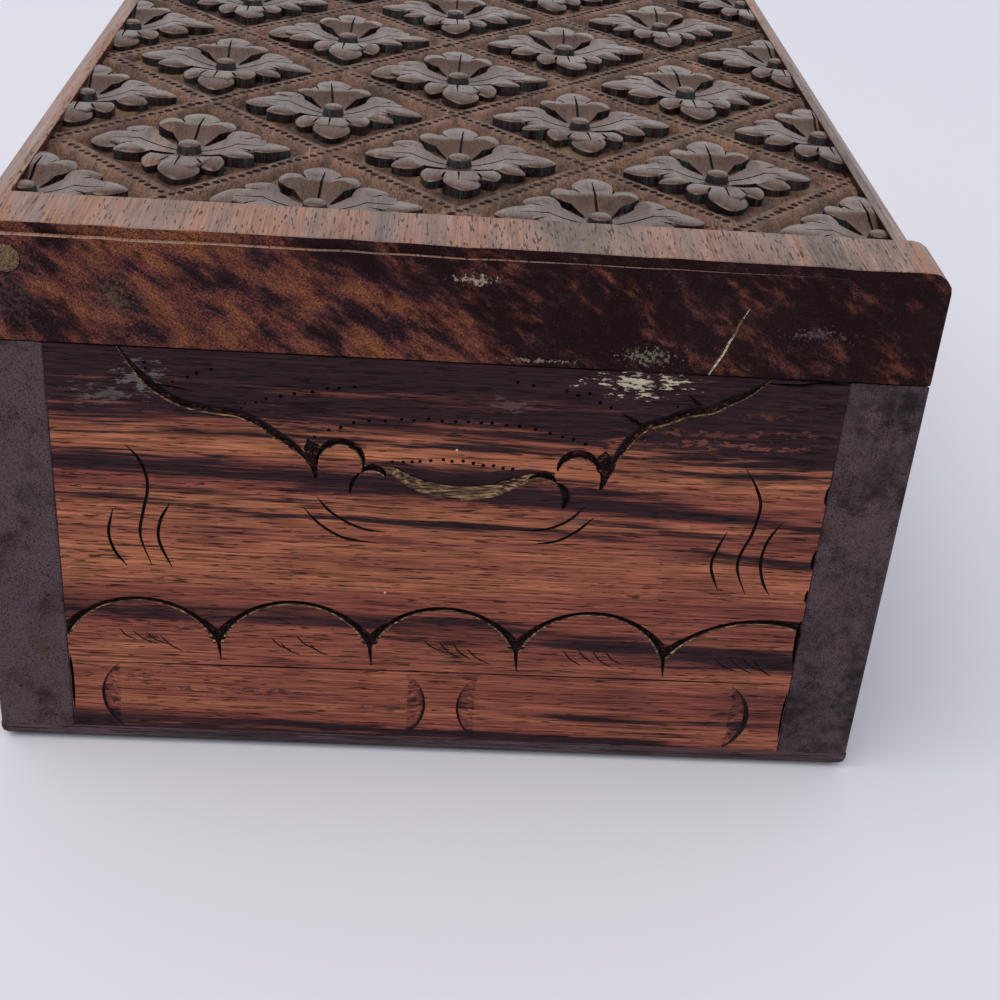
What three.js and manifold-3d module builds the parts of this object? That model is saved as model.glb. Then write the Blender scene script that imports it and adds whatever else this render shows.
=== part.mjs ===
// A small carved wooden box with a hinged lid. Sizes are in millimetres, +Z is up, Y runs along
// the length and X across it. The origin is the centre of the underside. The lid opens at the
// front, at high X, and turns on two butt hinges let into the back wall, at low X.

import * as THREE from 'three';
import { mergeVertices } from 'three/addons/utils/BufferGeometryUtils.js';
import Module from 'manifold-3d';

const wasm = await Module();
wasm.setup();

// The whole box
const boxLength = 152.4;
const boxWidth = 100;
const bodyHeight = 51.7;
const lidThickness = 12.7;
const seamGap = 0.1;

// Boards of the body
const wallThickness = 8.5;
const endThickness = 8.5;
const bottomThickness = 2.4;
const bottomEdgeRadius = 1.8;

// Outline of the lid: plain strips at both ends, a bevel along both sides between them
const stripWidth = 8.5;
const stripCornerRadius = 2.5;
const sideChamfer = 3.6;
const rimWidth = 0.9;
const rebateHeight = 1.2;
const rebateDepth = 0.7;
const rebateEndShare = 0.8;

// Carved field of the lid: a diagonal lattice with a flower in every diamond
const groundDepth = 1.55;
const bandDrop = 0.8;
const bandWidth = 2.8;
const columnPitch = 15;
const rowPitch = 16.15;
const carvingRoot = 0.3;

// One flower: petals of three lobes, each scooped towards the heart, round a raised button
const flowerReach = 10.8;
const tipLobeRadius = 2.3;
const sideLobeRadius = 1.6;
const sideLobeReach = 5.9;
const sideLobeSpread = 2.9;
const petalNotchReach = 2.6;
const scoopReach = 5.2;
const scoopDepth = 1.1;
const buttonRadius = 1.2;
const buttonTopShare = 0.7;
const firstLobeTurnShares = [-0.8, 0.1];
const tipLobeTurnShares = [-0.7, 0.7];
const lastLobeTurnShares = [-0.1, 0.8];

// Round plug let into the near end of the lid
const plugRadius = 1.5;
const plugLength = 8;
const plugFromSide = 5.5;
const plugFromTop = 3.8;
const plugClearance = 0.1;

// Butt hinges: the pin lies inside the back face, and bevelled edges stop the lid at this angle
const hingeLength = 25;
const hingeFromEnd = 28;
const leafWidth = 6;
const leafThickness = 0.9;
const barrelRadius = 1.6;
const barrelClearance = 0.2;
const knuckleCount = 3;
const knuckleGap = 0.15;
const pinRadius = 0.75;
const pinClearance = 0.08;
const pinInset = 1.2;
const stopAngle = 105;
const mortiseClearance = 0.15;

// Countersunk hinge screws
const screwHeadRadius = 1.6;
const screwShankRadius = 0.8;
const screwLength = 9;
const screwTipLength = 1.6;
const screwFromPin = 3.7;
const screwFromLeafEnd = 5.5;
const screwClearance = 0.1;
const screwSlotWidth = 0.4;
const screwSlotDepth = 0.35;
const lidOverScrew = 3;

// Panel pins through the corners and through the bottom
const nailHeadRadius = 1;
const nailHeadThickness = 0.5;
const nailShankRadius = 0.55;
const nailTipLength = 1.2;
const cornerNailLength = 18;
const bottomNailLength = 12;
const nailClearance = 0.1;
const cornerNailHeightShares = [0.22, 0.78];
const bottomNailAlongShare = 0.3;
const bottomNailAcrossShare = 0.18;

// Facets of round shapes (an arc gets two facets a segment), and how far a cutter runs past
const cornerSegments = 2;
const petalCount = 4;
const lobeSegments = 2;
const buttonSides = 6;
const barrelSides = 16;
const screwSides = 12;
const nailSides = 8;
const cutOverrun = 1;
const weldTolerance = 0.0001;

// Places worked out from the sizes above
const halfWidth = boxWidth / 2;
const halfLength = boxLength / 2;
const lidBottom = bodyHeight + seamGap;
const lidTop = lidBottom + lidThickness;
const fieldHalfWidth = halfWidth - sideChamfer - rimWidth;
const fieldHalfLength = halfLength - stripWidth;
const groundLevel = lidTop - groundDepth;
const hingePinX = -halfWidth + pinInset;
const hingePinZ = bodyHeight + seamGap / 2;
const stopBevelRise = pinInset * Math.tan(THREE.MathUtils.degToRad(stopAngle / 2));
const hingeCentres = [-halfLength + hingeFromEnd, halfLength - hingeFromEnd];
const lidScrewLength = Math.min(screwLength, lidThickness - groundDepth - lidOverScrew);

const darkWood = { color: 0x4a2f25, roughness: 0.5, metalness: 0 };
const redWood = { color: 0x6b3f2e, roughness: 0.5, metalness: 0 };
const greyWood = { color: 0x6e5549, roughness: 0.45, metalness: 0 };
const plugWood = { color: 0x7a6a44, roughness: 0.6, metalness: 0 };
const brass = { color: 0xb08d4a, roughness: 0.35, metalness: 1 };
const steel = { color: 0x6f6c68, roughness: 0.45, metalness: 1 };

// Welded triangles of a geometry, with the ones that have no area left out.
function weldedTriangles(geometry) {
  const bare = geometry.clone();
  bare.deleteAttribute('normal');
  bare.deleteAttribute('uv');
  const welded = mergeVertices(bare, weldTolerance);
  const corners = welded.index.array;
  const kept = [];
  for (let i = 0; i < corners.length; i += 3) {
    const [a, b, c] = [corners[i], corners[i + 1], corners[i + 2]];
    if (a !== b && b !== c && c !== a) kept.push(a, b, c);
  }
  return { positions: welded.attributes.position.array, corners: kept };
}

// Six times the volume that the triangles enclose, negative where they face inwards.
function signedVolume({ positions, corners }) {
  const p = (i) => new THREE.Vector3().fromArray(positions, 3 * i);
  let sum = 0;
  for (let i = 0; i < corners.length; i += 3) {
    sum += p(corners[i]).dot(p(corners[i + 1]).cross(p(corners[i + 2])));
  }
  return sum;
}

function solidFrom(geometry) {
  const triangles = weldedTriangles(geometry);
  const corners = triangles.corners;
  if (signedVolume(triangles) < 0) corners.reverse();
  const vertProperties = new Float32Array(triangles.positions);
  const triVerts = new Uint32Array(corners);
  return new wasm.Manifold(new wasm.Mesh({ numProp: 3, vertProperties, triVerts }));
}

function geometryFrom(solid) {
  const { numProp, vertProperties, triVerts } = solid.getMesh();
  const positions = new Float32Array((vertProperties.length / numProp) * 3);
  for (let i = 0; i < positions.length / 3; i += 1) {
    for (let axis = 0; axis < 3; axis += 1) {
      positions[3 * i + axis] = vertProperties[numProp * i + axis];
    }
  }
  const indexed = new THREE.BufferGeometry();
  indexed.setAttribute('position', new THREE.BufferAttribute(positions, 3));
  indexed.setIndex(new THREE.BufferAttribute(new Uint32Array(triVerts), 1));
  const geometry = indexed.toNonIndexed();
  geometry.computeVertexNormals();
  return geometry;
}

// A mesh of one solid, named and coloured.
function piece(name, solid, finish) {
  const mesh = new THREE.Mesh(geometryFrom(solid), new THREE.MeshStandardMaterial(finish));
  mesh.name = name;
  return mesh;
}

// A block between two heights, two places along and two across.
function block([x0, x1], [y0, y1], [z0, z1]) {
  const geometry = new THREE.BoxGeometry(x1 - x0, y1 - y0, z1 - z0);
  geometry.translate((x0 + x1) / 2, (y0 + y1) / 2, (z0 + z1) / 2);
  return solidFrom(geometry);
}

// A profile drawn in X and Z, run along Y from y0 to y1.
function runAlongY(shape, y0, y1, curveSegments = cornerSegments) {
  const options = { depth: y1 - y0, bevelEnabled: false, curveSegments };
  const geometry = new THREE.ExtrudeGeometry(shape, options);
  geometry.rotateX(Math.PI / 2);
  geometry.translate(0, y1, 0);
  return solidFrom(geometry);
}

// A round bar about a line along Y.
function barAlongY(radius, y0, y1, x, z, sides) {
  const geometry = new THREE.CylinderGeometry(radius, radius, y1 - y0, sides);
  geometry.translate(x, (y0 + y1) / 2, z);
  return solidFrom(geometry);
}

// A turned shape: its profile is drawn as radius and depth below the head, and it points down.
function turned(profile, sides) {
  const points = profile.map(([radius, depth]) => new THREE.Vector2(radius, -depth));
  const geometry = new THREE.LatheGeometry(points, sides);
  geometry.rotateX(Math.PI / 2);
  return geometry;
}

function wallOutline(low, high, foot, top) {
  const shape = new THREE.Shape();
  shape.moveTo(low, foot);
  shape.lineTo(high, foot);
  shape.lineTo(high, top);
  shape.lineTo(low + pinInset, top);
  shape.lineTo(low, top - stopBevelRise);
  shape.closePath();
  return shape;
}

// The bottom board's section, with both lower corners rounded.
function bottomOutline(half) {
  const radius = Math.min(bottomEdgeRadius, bottomThickness);
  const shape = new THREE.Shape();
  shape.moveTo(half, bottomThickness);
  shape.lineTo(-half, bottomThickness);
  shape.lineTo(-half, radius);
  shape.absarc(-half + radius, radius, radius, Math.PI, 1.5 * Math.PI, false);
  shape.absarc(half - radius, radius, radius, 1.5 * Math.PI, 2 * Math.PI, false);
  shape.closePath();
  return shape;
}

// The lid's section at its plain strips: rounded top corners, and the stop bevel at the back.
function lidOutline() {
  const shape = new THREE.Shape();
  const radius = stripCornerRadius;
  shape.moveTo(-halfWidth, lidBottom + stopBevelRise);
  shape.lineTo(-halfWidth + pinInset, lidBottom);
  shape.lineTo(halfWidth, lidBottom);
  shape.lineTo(halfWidth, lidTop - radius);
  shape.absarc(halfWidth - radius, lidTop - radius, radius, 0, 0.5 * Math.PI, false);
  shape.absarc(-halfWidth + radius, lidTop - radius, radius, 0.5 * Math.PI, Math.PI, false);
  shape.closePath();
  return shape;
}

// What the side bevel takes off one long edge of the lid; side is 1 at the front, -1 at the back.
function sideChamferCutter(side) {
  const outer = halfWidth + cutOverrun;
  const above = lidTop + cutOverrun;
  const shape = new THREE.Shape();
  shape.moveTo(side * outer, lidTop - sideChamfer - cutOverrun);
  shape.lineTo(side * outer, above);
  shape.lineTo(side * (halfWidth - sideChamfer - cutOverrun), above);
  shape.closePath();
  return runAlongY(shape, -fieldHalfLength, fieldHalfLength);
}

// The shallow rebate along the top of the near end, which runs out towards the front.
function rebateCutter() {
  const near = -halfLength;
  const runOut = rebateEndShare * halfWidth;
  const shape = new THREE.Shape();
  shape.moveTo(-halfWidth - cutOverrun, near - cutOverrun);
  shape.lineTo(runOut, near - cutOverrun);
  shape.lineTo(runOut, near);
  shape.lineTo(-halfWidth - cutOverrun, near + rebateDepth);
  shape.closePath();
  const options = { depth: rebateHeight + cutOverrun, bevelEnabled: false };
  const geometry = new THREE.ExtrudeGeometry(shape, options);
  geometry.translate(0, 0, lidTop - rebateHeight);
  return solidFrom(geometry);
}

// The three lobes of the petal that points along angle, and the notch that ends it.
function addPetal(shape, angle) {
  const lobe = (reach, spread, radius, from, to) => {
    const x = reach * Math.cos(angle) - spread * Math.sin(angle);
    const y = reach * Math.sin(angle) + spread * Math.cos(angle);
    shape.absarc(x, y, radius, angle + from * Math.PI, angle + to * Math.PI, false);
  };
  lobe(sideLobeReach, -sideLobeSpread, sideLobeRadius, ...firstLobeTurnShares);
  lobe(flowerReach - tipLobeRadius, 0, tipLobeRadius, ...tipLobeTurnShares);
  lobe(sideLobeReach, sideLobeSpread, sideLobeRadius, ...lastLobeTurnShares);
  const notch = angle + Math.PI / petalCount;
  shape.lineTo(petalNotchReach * Math.cos(notch), petalNotchReach * Math.sin(notch));
}

// A flower in relief about the Z axis, its top at the lid's face and its foot in the ground.
function flowerGeometry() {
  const foot = groundLevel - carvingRoot;
  const shape = new THREE.Shape();
  const start = -Math.PI / petalCount;
  shape.moveTo(petalNotchReach * Math.cos(start), petalNotchReach * Math.sin(start));
  for (let petal = 0; petal < petalCount; petal += 1) {
    addPetal(shape, (2 * Math.PI * petal) / petalCount);
  }
  const options = { depth: lidTop - foot, bevelEnabled: false, curveSegments: lobeSegments };
  const petals = new THREE.ExtrudeGeometry(shape, options);
  petals.translate(0, 0, foot);

  const height = scoopDepth + cutOverrun;
  const cornerReach = scoopReach / Math.cos(Math.PI / petalCount);
  const scoops = new THREE.ConeGeometry((cornerReach * height) / scoopDepth, height, petalCount);
  scoops.rotateX(-Math.PI / 2);
  scoops.rotateZ(Math.PI / petalCount);
  scoops.translate(0, 0, lidTop - scoopDepth + height / 2);

  const top = buttonTopShare * buttonRadius;
  const rise = lidTop - groundLevel;
  const button = new THREE.CylinderGeometry(top, buttonRadius, rise, buttonSides);
  button.rotateX(Math.PI / 2);
  button.translate(0, 0, groundLevel + rise / 2);

  return geometryFrom(solidFrom(petals).subtract(solidFrom(scoops)).add(solidFrom(button)));
}

// One band of the lattice through the crossing at (x, 0), leaning to one side or the other.
function latticeBand(x, lean) {
  const reach = 2 * (halfWidth + halfLength);
  const foot = groundLevel - carvingRoot;
  const height = lidTop - bandDrop - foot;
  const geometry = new THREE.BoxGeometry(reach, bandWidth, height);
  geometry.rotateZ(lean * Math.atan2(rowPitch, columnPitch));
  geometry.translate(x, 0, foot + height / 2);
  return solidFrom(geometry);
}

// Everything that stands up from the ground of the carved field, cut to the field's edges.
function carvedRelief() {
  const columns = Math.ceil(halfWidth / columnPitch);
  const rows = Math.ceil(halfLength / rowPitch);
  const flower = flowerGeometry();
  const solids = [];
  for (let i = -columns - rows; i <= columns + rows; i += 1) {
    if (i % 2 === 0) {
      solids.push(latticeBand(i * columnPitch, 1), latticeBand(i * columnPitch, -1));
    }
  }
  for (let i = -columns; i <= columns; i += 1) {
    for (let j = -rows; j <= rows; j += 1) {
      if ((i + j) % 2 !== 0) {
        solids.push(solidFrom(flower.clone().translate(i * columnPitch, j * rowPitch, 0)));
      }
    }
  }
  const field = block(
    [-fieldHalfWidth - carvingRoot, fieldHalfWidth + carvingRoot],
    [-fieldHalfLength - carvingRoot, fieldHalfLength + carvingRoot],
    [groundLevel - carvingRoot, lidTop],
  );
  return solids.reduce((whole, next) => whole.add(next)).intersect(field);
}

// The pocket that the carver sinks to the ground between the rims and the strips.
function fieldPocket() {
  return block(
    [-fieldHalfWidth, fieldHalfWidth],
    [-fieldHalfLength, fieldHalfLength],
    [groundLevel, lidTop + cutOverrun],
  );
}

function plug(radius, length) {
  const near = -halfLength;
  const x = -halfWidth + plugFromSide;
  return barAlongY(radius, near, near + length, x, lidTop - plugFromTop, screwSides);
}

// Places of a hinge's knuckles along Y; the wall's leaf has the first and the last.
function knuckleSpans(centre) {
  const pitch = (hingeLength + knuckleGap) / knuckleCount;
  const low = centre - hingeLength / 2;
  return Array.from({ length: knuckleCount }, (_, k) => ({
    ofWall: k % 2 === 0,
    y0: low + k * pitch,
    y1: low + (k + 1) * pitch - knuckleGap,
  }));
}

// A screw or a nail, and the hole for it where grow is more than zero.
function screwGeometry(length, grow) {
  const head = leafThickness;
  return turned(
    [
      [0, 0],
      [screwHeadRadius + grow, 0],
      [screwShankRadius + grow, head],
      [screwShankRadius + grow, length + grow - screwTipLength],
      [0, length + grow],
    ],
    screwSides,
  );
}

function nailGeometry(length, grow) {
  return turned(
    [
      [0, 0],
      [nailHeadRadius + grow, 0],
      [nailHeadRadius + grow, nailHeadThickness],
      [nailShankRadius + grow, nailHeadThickness],
      [nailShankRadius + grow, length + grow - nailTipLength],
      [0, length + grow],
    ],
    nailSides,
  );
}

// The screws of one leaf: direction is -1 down into the wall, 1 up into the lid.
function screwPlaces(centre) {
  const out = hingeLength / 2 - screwFromLeafEnd;
  return [centre - out, centre + out];
}

function placeScrew(geometry, direction, y) {
  if (direction > 0) geometry.rotateX(Math.PI);
  geometry.translate(hingePinX + screwFromPin, y, hingePinZ + (direction * seamGap) / 2);
  return solidFrom(geometry);
}

function hingeScrew(direction, y) {
  const length = direction > 0 ? lidScrewLength : screwLength;
  const slot = new THREE.BoxGeometry(screwSlotWidth, 2 * screwHeadRadius, 2 * screwSlotDepth);
  const screw = placeScrew(screwGeometry(length, 0), direction, y);
  return screw.subtract(placeScrew(slot, direction, y));
}

function screwHole(direction, y) {
  const length = direction > 0 ? lidScrewLength : screwLength;
  return placeScrew(screwGeometry(length, screwClearance), direction, y);
}

// Bearing faces of a leaf: from the pin outwards, on its own side of the seam.
function leafHeights(direction) {
  const face = hingePinZ + (direction * seamGap) / 2;
  const back = face + direction * leafThickness;
  return [Math.min(face, back), Math.max(face, back)];
}

function hingeLeaf(direction, centre) {
  const ofWall = direction < 0;
  const ends = [centre - hingeLength / 2, centre + hingeLength / 2];
  let leaf = block([hingePinX, hingePinX + leafWidth], ends, leafHeights(direction));
  for (const span of knuckleSpans(centre)) {
    const own = span.ofWall === ofWall;
    const grow = own ? 0 : knuckleGap;
    const radius = own ? barrelRadius : barrelRadius + barrelClearance;
    const y0 = span.y0 - grow;
    const y1 = span.y1 + grow;
    const round = barAlongY(radius, y0, y1, hingePinX, hingePinZ, barrelSides);
    leaf = own ? leaf.add(round) : leaf.subtract(round);
  }
  const bore = pinRadius + pinClearance;
  const y0 = ends[0] - cutOverrun;
  const y1 = ends[1] + cutOverrun;
  leaf = leaf.subtract(barAlongY(bore, y0, y1, hingePinX, hingePinZ, barrelSides));
  for (const y of screwPlaces(centre)) {
    leaf = leaf.subtract(screwHole(direction, y));
  }
  return leaf;
}

// What one hinge takes out of the wall or the lid: a bed for the leaf, a hollow for the barrel
// and holes for the screws.
function hingeMortise(direction, centre) {
  const half = hingeLength / 2 + mortiseClearance;
  const ends = [centre - half, centre + half];
  const [low, high] = leafHeights(direction);
  const open = direction * -cutOverrun;
  const heights = direction < 0 ? [low, high + Math.abs(open)] : [low - Math.abs(open), high];
  const across = [-halfWidth - cutOverrun, hingePinX + leafWidth + mortiseClearance];
  const barrel = barrelRadius + barrelClearance;
  let cut = block(across, ends, heights);
  cut = cut.add(barAlongY(barrel, ...ends, hingePinX, hingePinZ, barrelSides));
  for (const y of screwPlaces(centre)) {
    cut = cut.add(screwHole(direction, y));
  }
  return cut;
}

// Nails that hold the corners: each goes in square from the outside of a long wall.
function cornerNailPlaces() {
  const places = [];
  const rise = bodyHeight - bottomThickness;
  for (const side of [1, -1]) {
    for (const end of [-1, 1]) {
      for (const share of cornerNailHeightShares) {
        const y = end * (halfLength - endThickness / 2);
        places.push({ side, x: side * halfWidth, y, z: bottomThickness + share * rise });
      }
    }
  }
  return places;
}

function cornerNail(place, grow) {
  const geometry = nailGeometry(cornerNailLength, grow);
  geometry.rotateY((place.side * Math.PI) / 2);
  geometry.translate(place.x, place.y, place.z);
  return solidFrom(geometry);
}

// Nails that hold the bottom: each goes up from below into a wall or an end panel.
function bottomNailPlaces() {
  const places = [];
  for (const side of [1, -1]) {
    for (const end of [-1, 1]) {
      places.push([side * (halfWidth - wallThickness / 2), end * bottomNailAlongShare * boxLength]);
      places.push([side * bottomNailAcrossShare * boxWidth, end * (halfLength - endThickness / 2)]);
    }
  }
  return places;
}

function bottomNail([x, y], grow) {
  const geometry = nailGeometry(bottomNailLength, grow);
  geometry.rotateX(Math.PI);
  geometry.translate(x, y, 0);
  return solidFrom(geometry);
}

function withNailHoles(solid) {
  let drilled = solid;
  for (const place of cornerNailPlaces()) {
    drilled = drilled.subtract(cornerNail(place, nailClearance));
  }
  for (const place of bottomNailPlaces()) {
    drilled = drilled.subtract(bottomNail(place, nailClearance));
  }
  return drilled;
}

function bottomBoard() {
  const along = runAlongY(bottomOutline(halfWidth), -halfLength, halfLength);
  const across = new THREE.ExtrudeGeometry(bottomOutline(halfLength), {
    depth: boxWidth,
    bevelEnabled: false,
    curveSegments: cornerSegments,
  });
  across.rotateX(Math.PI / 2);
  across.rotateZ(Math.PI / 2);
  across.translate(-halfWidth, 0, 0);
  return withNailHoles(along.intersect(solidFrom(across)));
}

function frontWall() {
  const across = [halfWidth - wallThickness, halfWidth];
  return withNailHoles(block(across, [-halfLength, halfLength], [bottomThickness, bodyHeight]));
}

function backWall() {
  const inner = -halfWidth + wallThickness;
  const outline = wallOutline(-halfWidth, inner, bottomThickness, bodyHeight);
  let wall = withNailHoles(runAlongY(outline, -halfLength, halfLength));
  for (const centre of hingeCentres) {
    wall = wall.subtract(hingeMortise(-1, centre));
  }
  return wall;
}

// An end panel between the long walls; end is -1 near, 1 far.
function endPanel(end) {
  const half = halfWidth - wallThickness;
  const faces = [end * (halfLength - endThickness), end * halfLength].sort((a, b) => a - b);
  return withNailHoles(block([-half, half], faces, [bottomThickness, bodyHeight]));
}

function lid() {
  let board = runAlongY(lidOutline(), -halfLength, halfLength);
  board = board.subtract(sideChamferCutter(1)).subtract(sideChamferCutter(-1));
  board = board.subtract(fieldPocket()).add(carvedRelief());
  board = board.subtract(rebateCutter());
  board = board.subtract(plug(plugRadius + plugClearance, plugLength + plugClearance));
  for (const centre of hingeCentres) {
    board = board.subtract(hingeMortise(1, centre));
  }
  return board;
}

function hingePin(centre) {
  const half = hingeLength / 2;
  return barAlongY(pinRadius, centre - half, centre + half, hingePinX, hingePinZ, barrelSides);
}

const body = new THREE.Group();
body.add(piece('bottom_board', bottomBoard(), darkWood));
body.add(piece('front_wall', frontWall(), darkWood));
body.add(piece('back_wall', backWall(), darkWood));
body.add(piece('near_end_panel', endPanel(-1), redWood));
body.add(piece('far_end_panel', endPanel(1), redWood));

// The lid turns about this group's own place, which lies on the line of the hinge pins.
const lidPivot = new THREE.Group();
const lidPieces = new THREE.Group();
lidPivot.position.set(hingePinX, 0, hingePinZ);
lidPieces.position.copy(lidPivot.position).negate();
lidPivot.add(lidPieces);
lidPieces.add(piece('lid', lid(), greyWood));
lidPieces.add(piece('lid_end_plug', plug(plugRadius, plugLength), plugWood));

hingeCentres.forEach((centre, index) => {
  const hinge = ['near_hinge', 'far_hinge'][index];
  body.add(piece(`${hinge}_wall_leaf`, hingeLeaf(-1, centre), brass));
  body.add(piece(`${hinge}_pin`, hingePin(centre), brass));
  lidPieces.add(piece(`${hinge}_lid_leaf`, hingeLeaf(1, centre), brass));
  screwPlaces(centre).forEach((y, number) => {
    body.add(piece(`${hinge}_wall_screw_${number + 1}`, hingeScrew(-1, y), brass));
    lidPieces.add(piece(`${hinge}_lid_screw_${number + 1}`, hingeScrew(1, y), brass));
  });
});

cornerNailPlaces().forEach((place, number) => {
  body.add(piece(`corner_nail_${number + 1}`, cornerNail(place, 0), steel));
});
bottomNailPlaces().forEach((place, number) => {
  body.add(piece(`bottom_nail_${number + 1}`, bottomNail(place, 0), steel));
});

const carvedBox = new THREE.Group();
carvedBox.add(body, lidPivot);

export default carvedBox;
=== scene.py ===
"""A small rosewood box with a hinged, deeply carved lid and incised sides, dressed round its frame.

Shapes are worked in millimetres and settled into metres at the end. +Z is up, Y runs along the
box and X across it; the near end faces the camera and the lid opens at high X.
"""

import math
import random
from functools import partial
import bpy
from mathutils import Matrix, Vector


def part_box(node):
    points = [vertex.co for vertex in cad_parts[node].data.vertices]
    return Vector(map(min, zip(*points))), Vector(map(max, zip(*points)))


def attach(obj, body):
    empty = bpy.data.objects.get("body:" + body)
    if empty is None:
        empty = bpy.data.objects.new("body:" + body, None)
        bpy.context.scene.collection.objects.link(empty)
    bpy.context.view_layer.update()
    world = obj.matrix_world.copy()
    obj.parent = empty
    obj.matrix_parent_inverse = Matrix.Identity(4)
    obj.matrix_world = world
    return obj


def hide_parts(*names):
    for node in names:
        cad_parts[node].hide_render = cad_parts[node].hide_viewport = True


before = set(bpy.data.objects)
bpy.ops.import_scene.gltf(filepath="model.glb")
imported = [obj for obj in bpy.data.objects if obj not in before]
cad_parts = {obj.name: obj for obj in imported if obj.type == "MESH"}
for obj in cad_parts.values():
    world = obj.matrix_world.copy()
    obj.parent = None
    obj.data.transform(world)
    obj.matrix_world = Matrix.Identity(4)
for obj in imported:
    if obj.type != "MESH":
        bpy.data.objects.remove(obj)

from types import SimpleNamespace

import bmesh
import bpy
from bpy.props import FloatProperty, FloatVectorProperty, IntProperty, PointerProperty
from mathutils import Matrix, Vector, noise

bl_info = {
    "name": "Carved rosewood box",
    "version": (1, 0, 0),
    "blender": (4, 5, 0),
    "location": "View3D > Sidebar > Carved Box",
    "description": "Models the carved lid, incised sides, fittings and stage of a small wooden box",
    "category": "Object",
}

MM = 0.001
# Corners that lie nearer than this, in millimetres, are one
MERGE = 0.0008
# Heights that differ by less than this, in millimetres, are the same
LEVEL = 0.01
# Faces that meet at a larger angle than this show an edge, on the carving and on the flat boards
SHARP_ANGLE = math.radians(34)
BOARD_SHARP_ANGLE = math.radians(9)
# Faces whose normals rise more than this lie open to hands and light
FACING_UP = 0.3

# Numbers of the materials that a cutter leaves on a board
# On the end panels HOLLOW is the panel's wood painted darker as shade, LINE is black with stain and painted
# shade, and FIBRE is pale with torn fibres and a painted highlight
WOOD, LINE, ROUGH, FIBRE, HOLLOW = range(5)
# Number of the one that it leaves on the lattice and the flowers, whose tops have the first
WALL = 1

LID = "lid_body"
BODY = "box_body"


# Settings

def size(name, description, default):
    """A length in metres, given here in millimetres."""
    return FloatProperty(name=name, description=description, default=default * MM, unit="LENGTH")


def linear(code):
    """The linear colour of an sRGB hex code."""
    parts = [int(code[i:i + 2], 16) / 255 for i in (1, 3, 5)]
    return [p / 12.92 if p <= 0.04045 else ((p + 0.055) / 1.055) ** 2.4 for p in parts]


def colour(name, description, code):
    """A colour, given here as an sRGB hex code."""
    return FloatVectorProperty(
        name=name, description=description, default=linear(code), subtype="COLOR", size=3, min=0, max=1
    )


def in_mm(settings):
    """The lengths of a settings group, in millimetres, under their own names."""
    names = type(settings).__annotations__
    return SimpleNamespace(**{name: getattr(settings, name) / MM for name in names})


class CarvedFieldSizes(bpy.types.PropertyGroup):
    """The sunk field of the lid, its ground and its lattice."""

    half_width: size("Half width", "From the middle of the lid to the side rims", 45.5)
    half_length: size("Half length", "From the middle of the lid to the end strips", 67.7)
    ground_depth: size("Ground depth", "From the top of the lid down to the ground", 1.55)
    column_pitch: size("Column pitch", "Between neighbouring columns of flowers", 15)
    row_pitch: size("Row pitch", "Between neighbouring rows of flowers", 16.15)
    band_drop: size("Band drop", "From the top of the lid down to the lattice", 0.8)
    band_width: size("Band width", "Width of one band of the lattice", 2.5)
    dot_pitch: size("Dot pitch", "Between the punched dots of a band", 1.17)
    band_foot_share: FloatProperty(
        name="Band foot share", description="Foot of a band for its top", default=1.8)
    dot_radius: size("Dot radius", "Radius of a punched dot at the surface", 0.54)
    dot_depth: size("Dot depth", "Depth of a punched dot", 0.42)
    root: size("Root", "How far the carving runs down into the ground", 0.4)
    gouge_depth: size("Gouge depth", "Unevenness that the gouge leaves in the ground", 0.18)


class FlowerSizes(bpy.types.PropertyGroup):
    """One carved flower of four petals, each of three lobes, round a raised button."""

    tip_reach: size("Tip lobe reach", "From the heart to the middle of a tip lobe", 8.5)
    tip_radius: size("Tip lobe radius", "Radius of a tip lobe", 2.25)
    side_reach: size("Side lobe reach", "Along the petal, to the middle of a side lobe", 5.75)
    side_spread: size("Side lobe spread", "Across the petal, to the middle of a side lobe", 3.0)
    side_radius: size("Side lobe radius", "Radius of a side lobe", 1.7)
    lobe_dome: size("Lobe dome", "Rise of a lobe over its rim", 0.36)
    web_drop: size("Web drop", "From the top of the lobes down to the wood between them", 0.2)
    scoop_reach: size("Scoop reach", "From the heart to the outer edge of a petal's scoop", 5.9)
    scoop_depth: size("Scoop depth", "Depth of the scoops at the heart", 1.45)
    scoop_radius: size("Scoop radius", "Radius of the gouge that scoops a petal", 16)
    vein_reach: size("Vein reach", "From the heart to the outer end of a petal's vein", 8.7)
    vein_width: size("Vein width", "Width of a vein at its middle", 0.3)
    vein_depth: size("Vein depth", "Depth of a vein", 0.5)
    knife_length: size("Knife cut length", "Length of the cut in from the notch of two lobes", 1.6)
    button_radius: size("Button radius", "Radius of the raised button", 1.15)
    button_foot: size("Button foot", "Radius of the button at its foot", 1.6)
    button_drop: size("Button drop", "From the top of the lobes down to the button", 0.3)


class IncisionSizes(bpy.types.PropertyGroup):
    """The lines cut into the ends and the sides."""

    swag_depth: size("Swag depth", "Depth of the large scalloped lines", 0.6)
    swag_slope: size("Swag slope", "Width of the wood that slopes down to the large lines", 3.4)
    arch_depth: size("Arch depth", "Depth of the arched lines", 0.48)
    line_width: size("Line width", "Width of the plain knife lines", 0.34)
    line_depth: size("Line depth", "Depth of the plain knife lines", 0.32)
    crescent_width: size("Crescent width", "Width of the gouged ends of the long fields", 1.9)
    crescent_depth: size("Crescent depth", "Depth of the gouged ends of the long fields", 0.42)
    dot_radius: size("Dot radius", "Radius of the pricked dots", 0.27)
    dot_depth: size("Dot depth", "Depth of the pricked dots", 0.4)
    edge_wear: size("Edge wear", "Rounding of the worn outer edges", 0.35)
    edge_waver: size("Edge waver", "How far the worn edges of the lid's strips waver", 0.3)


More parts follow.
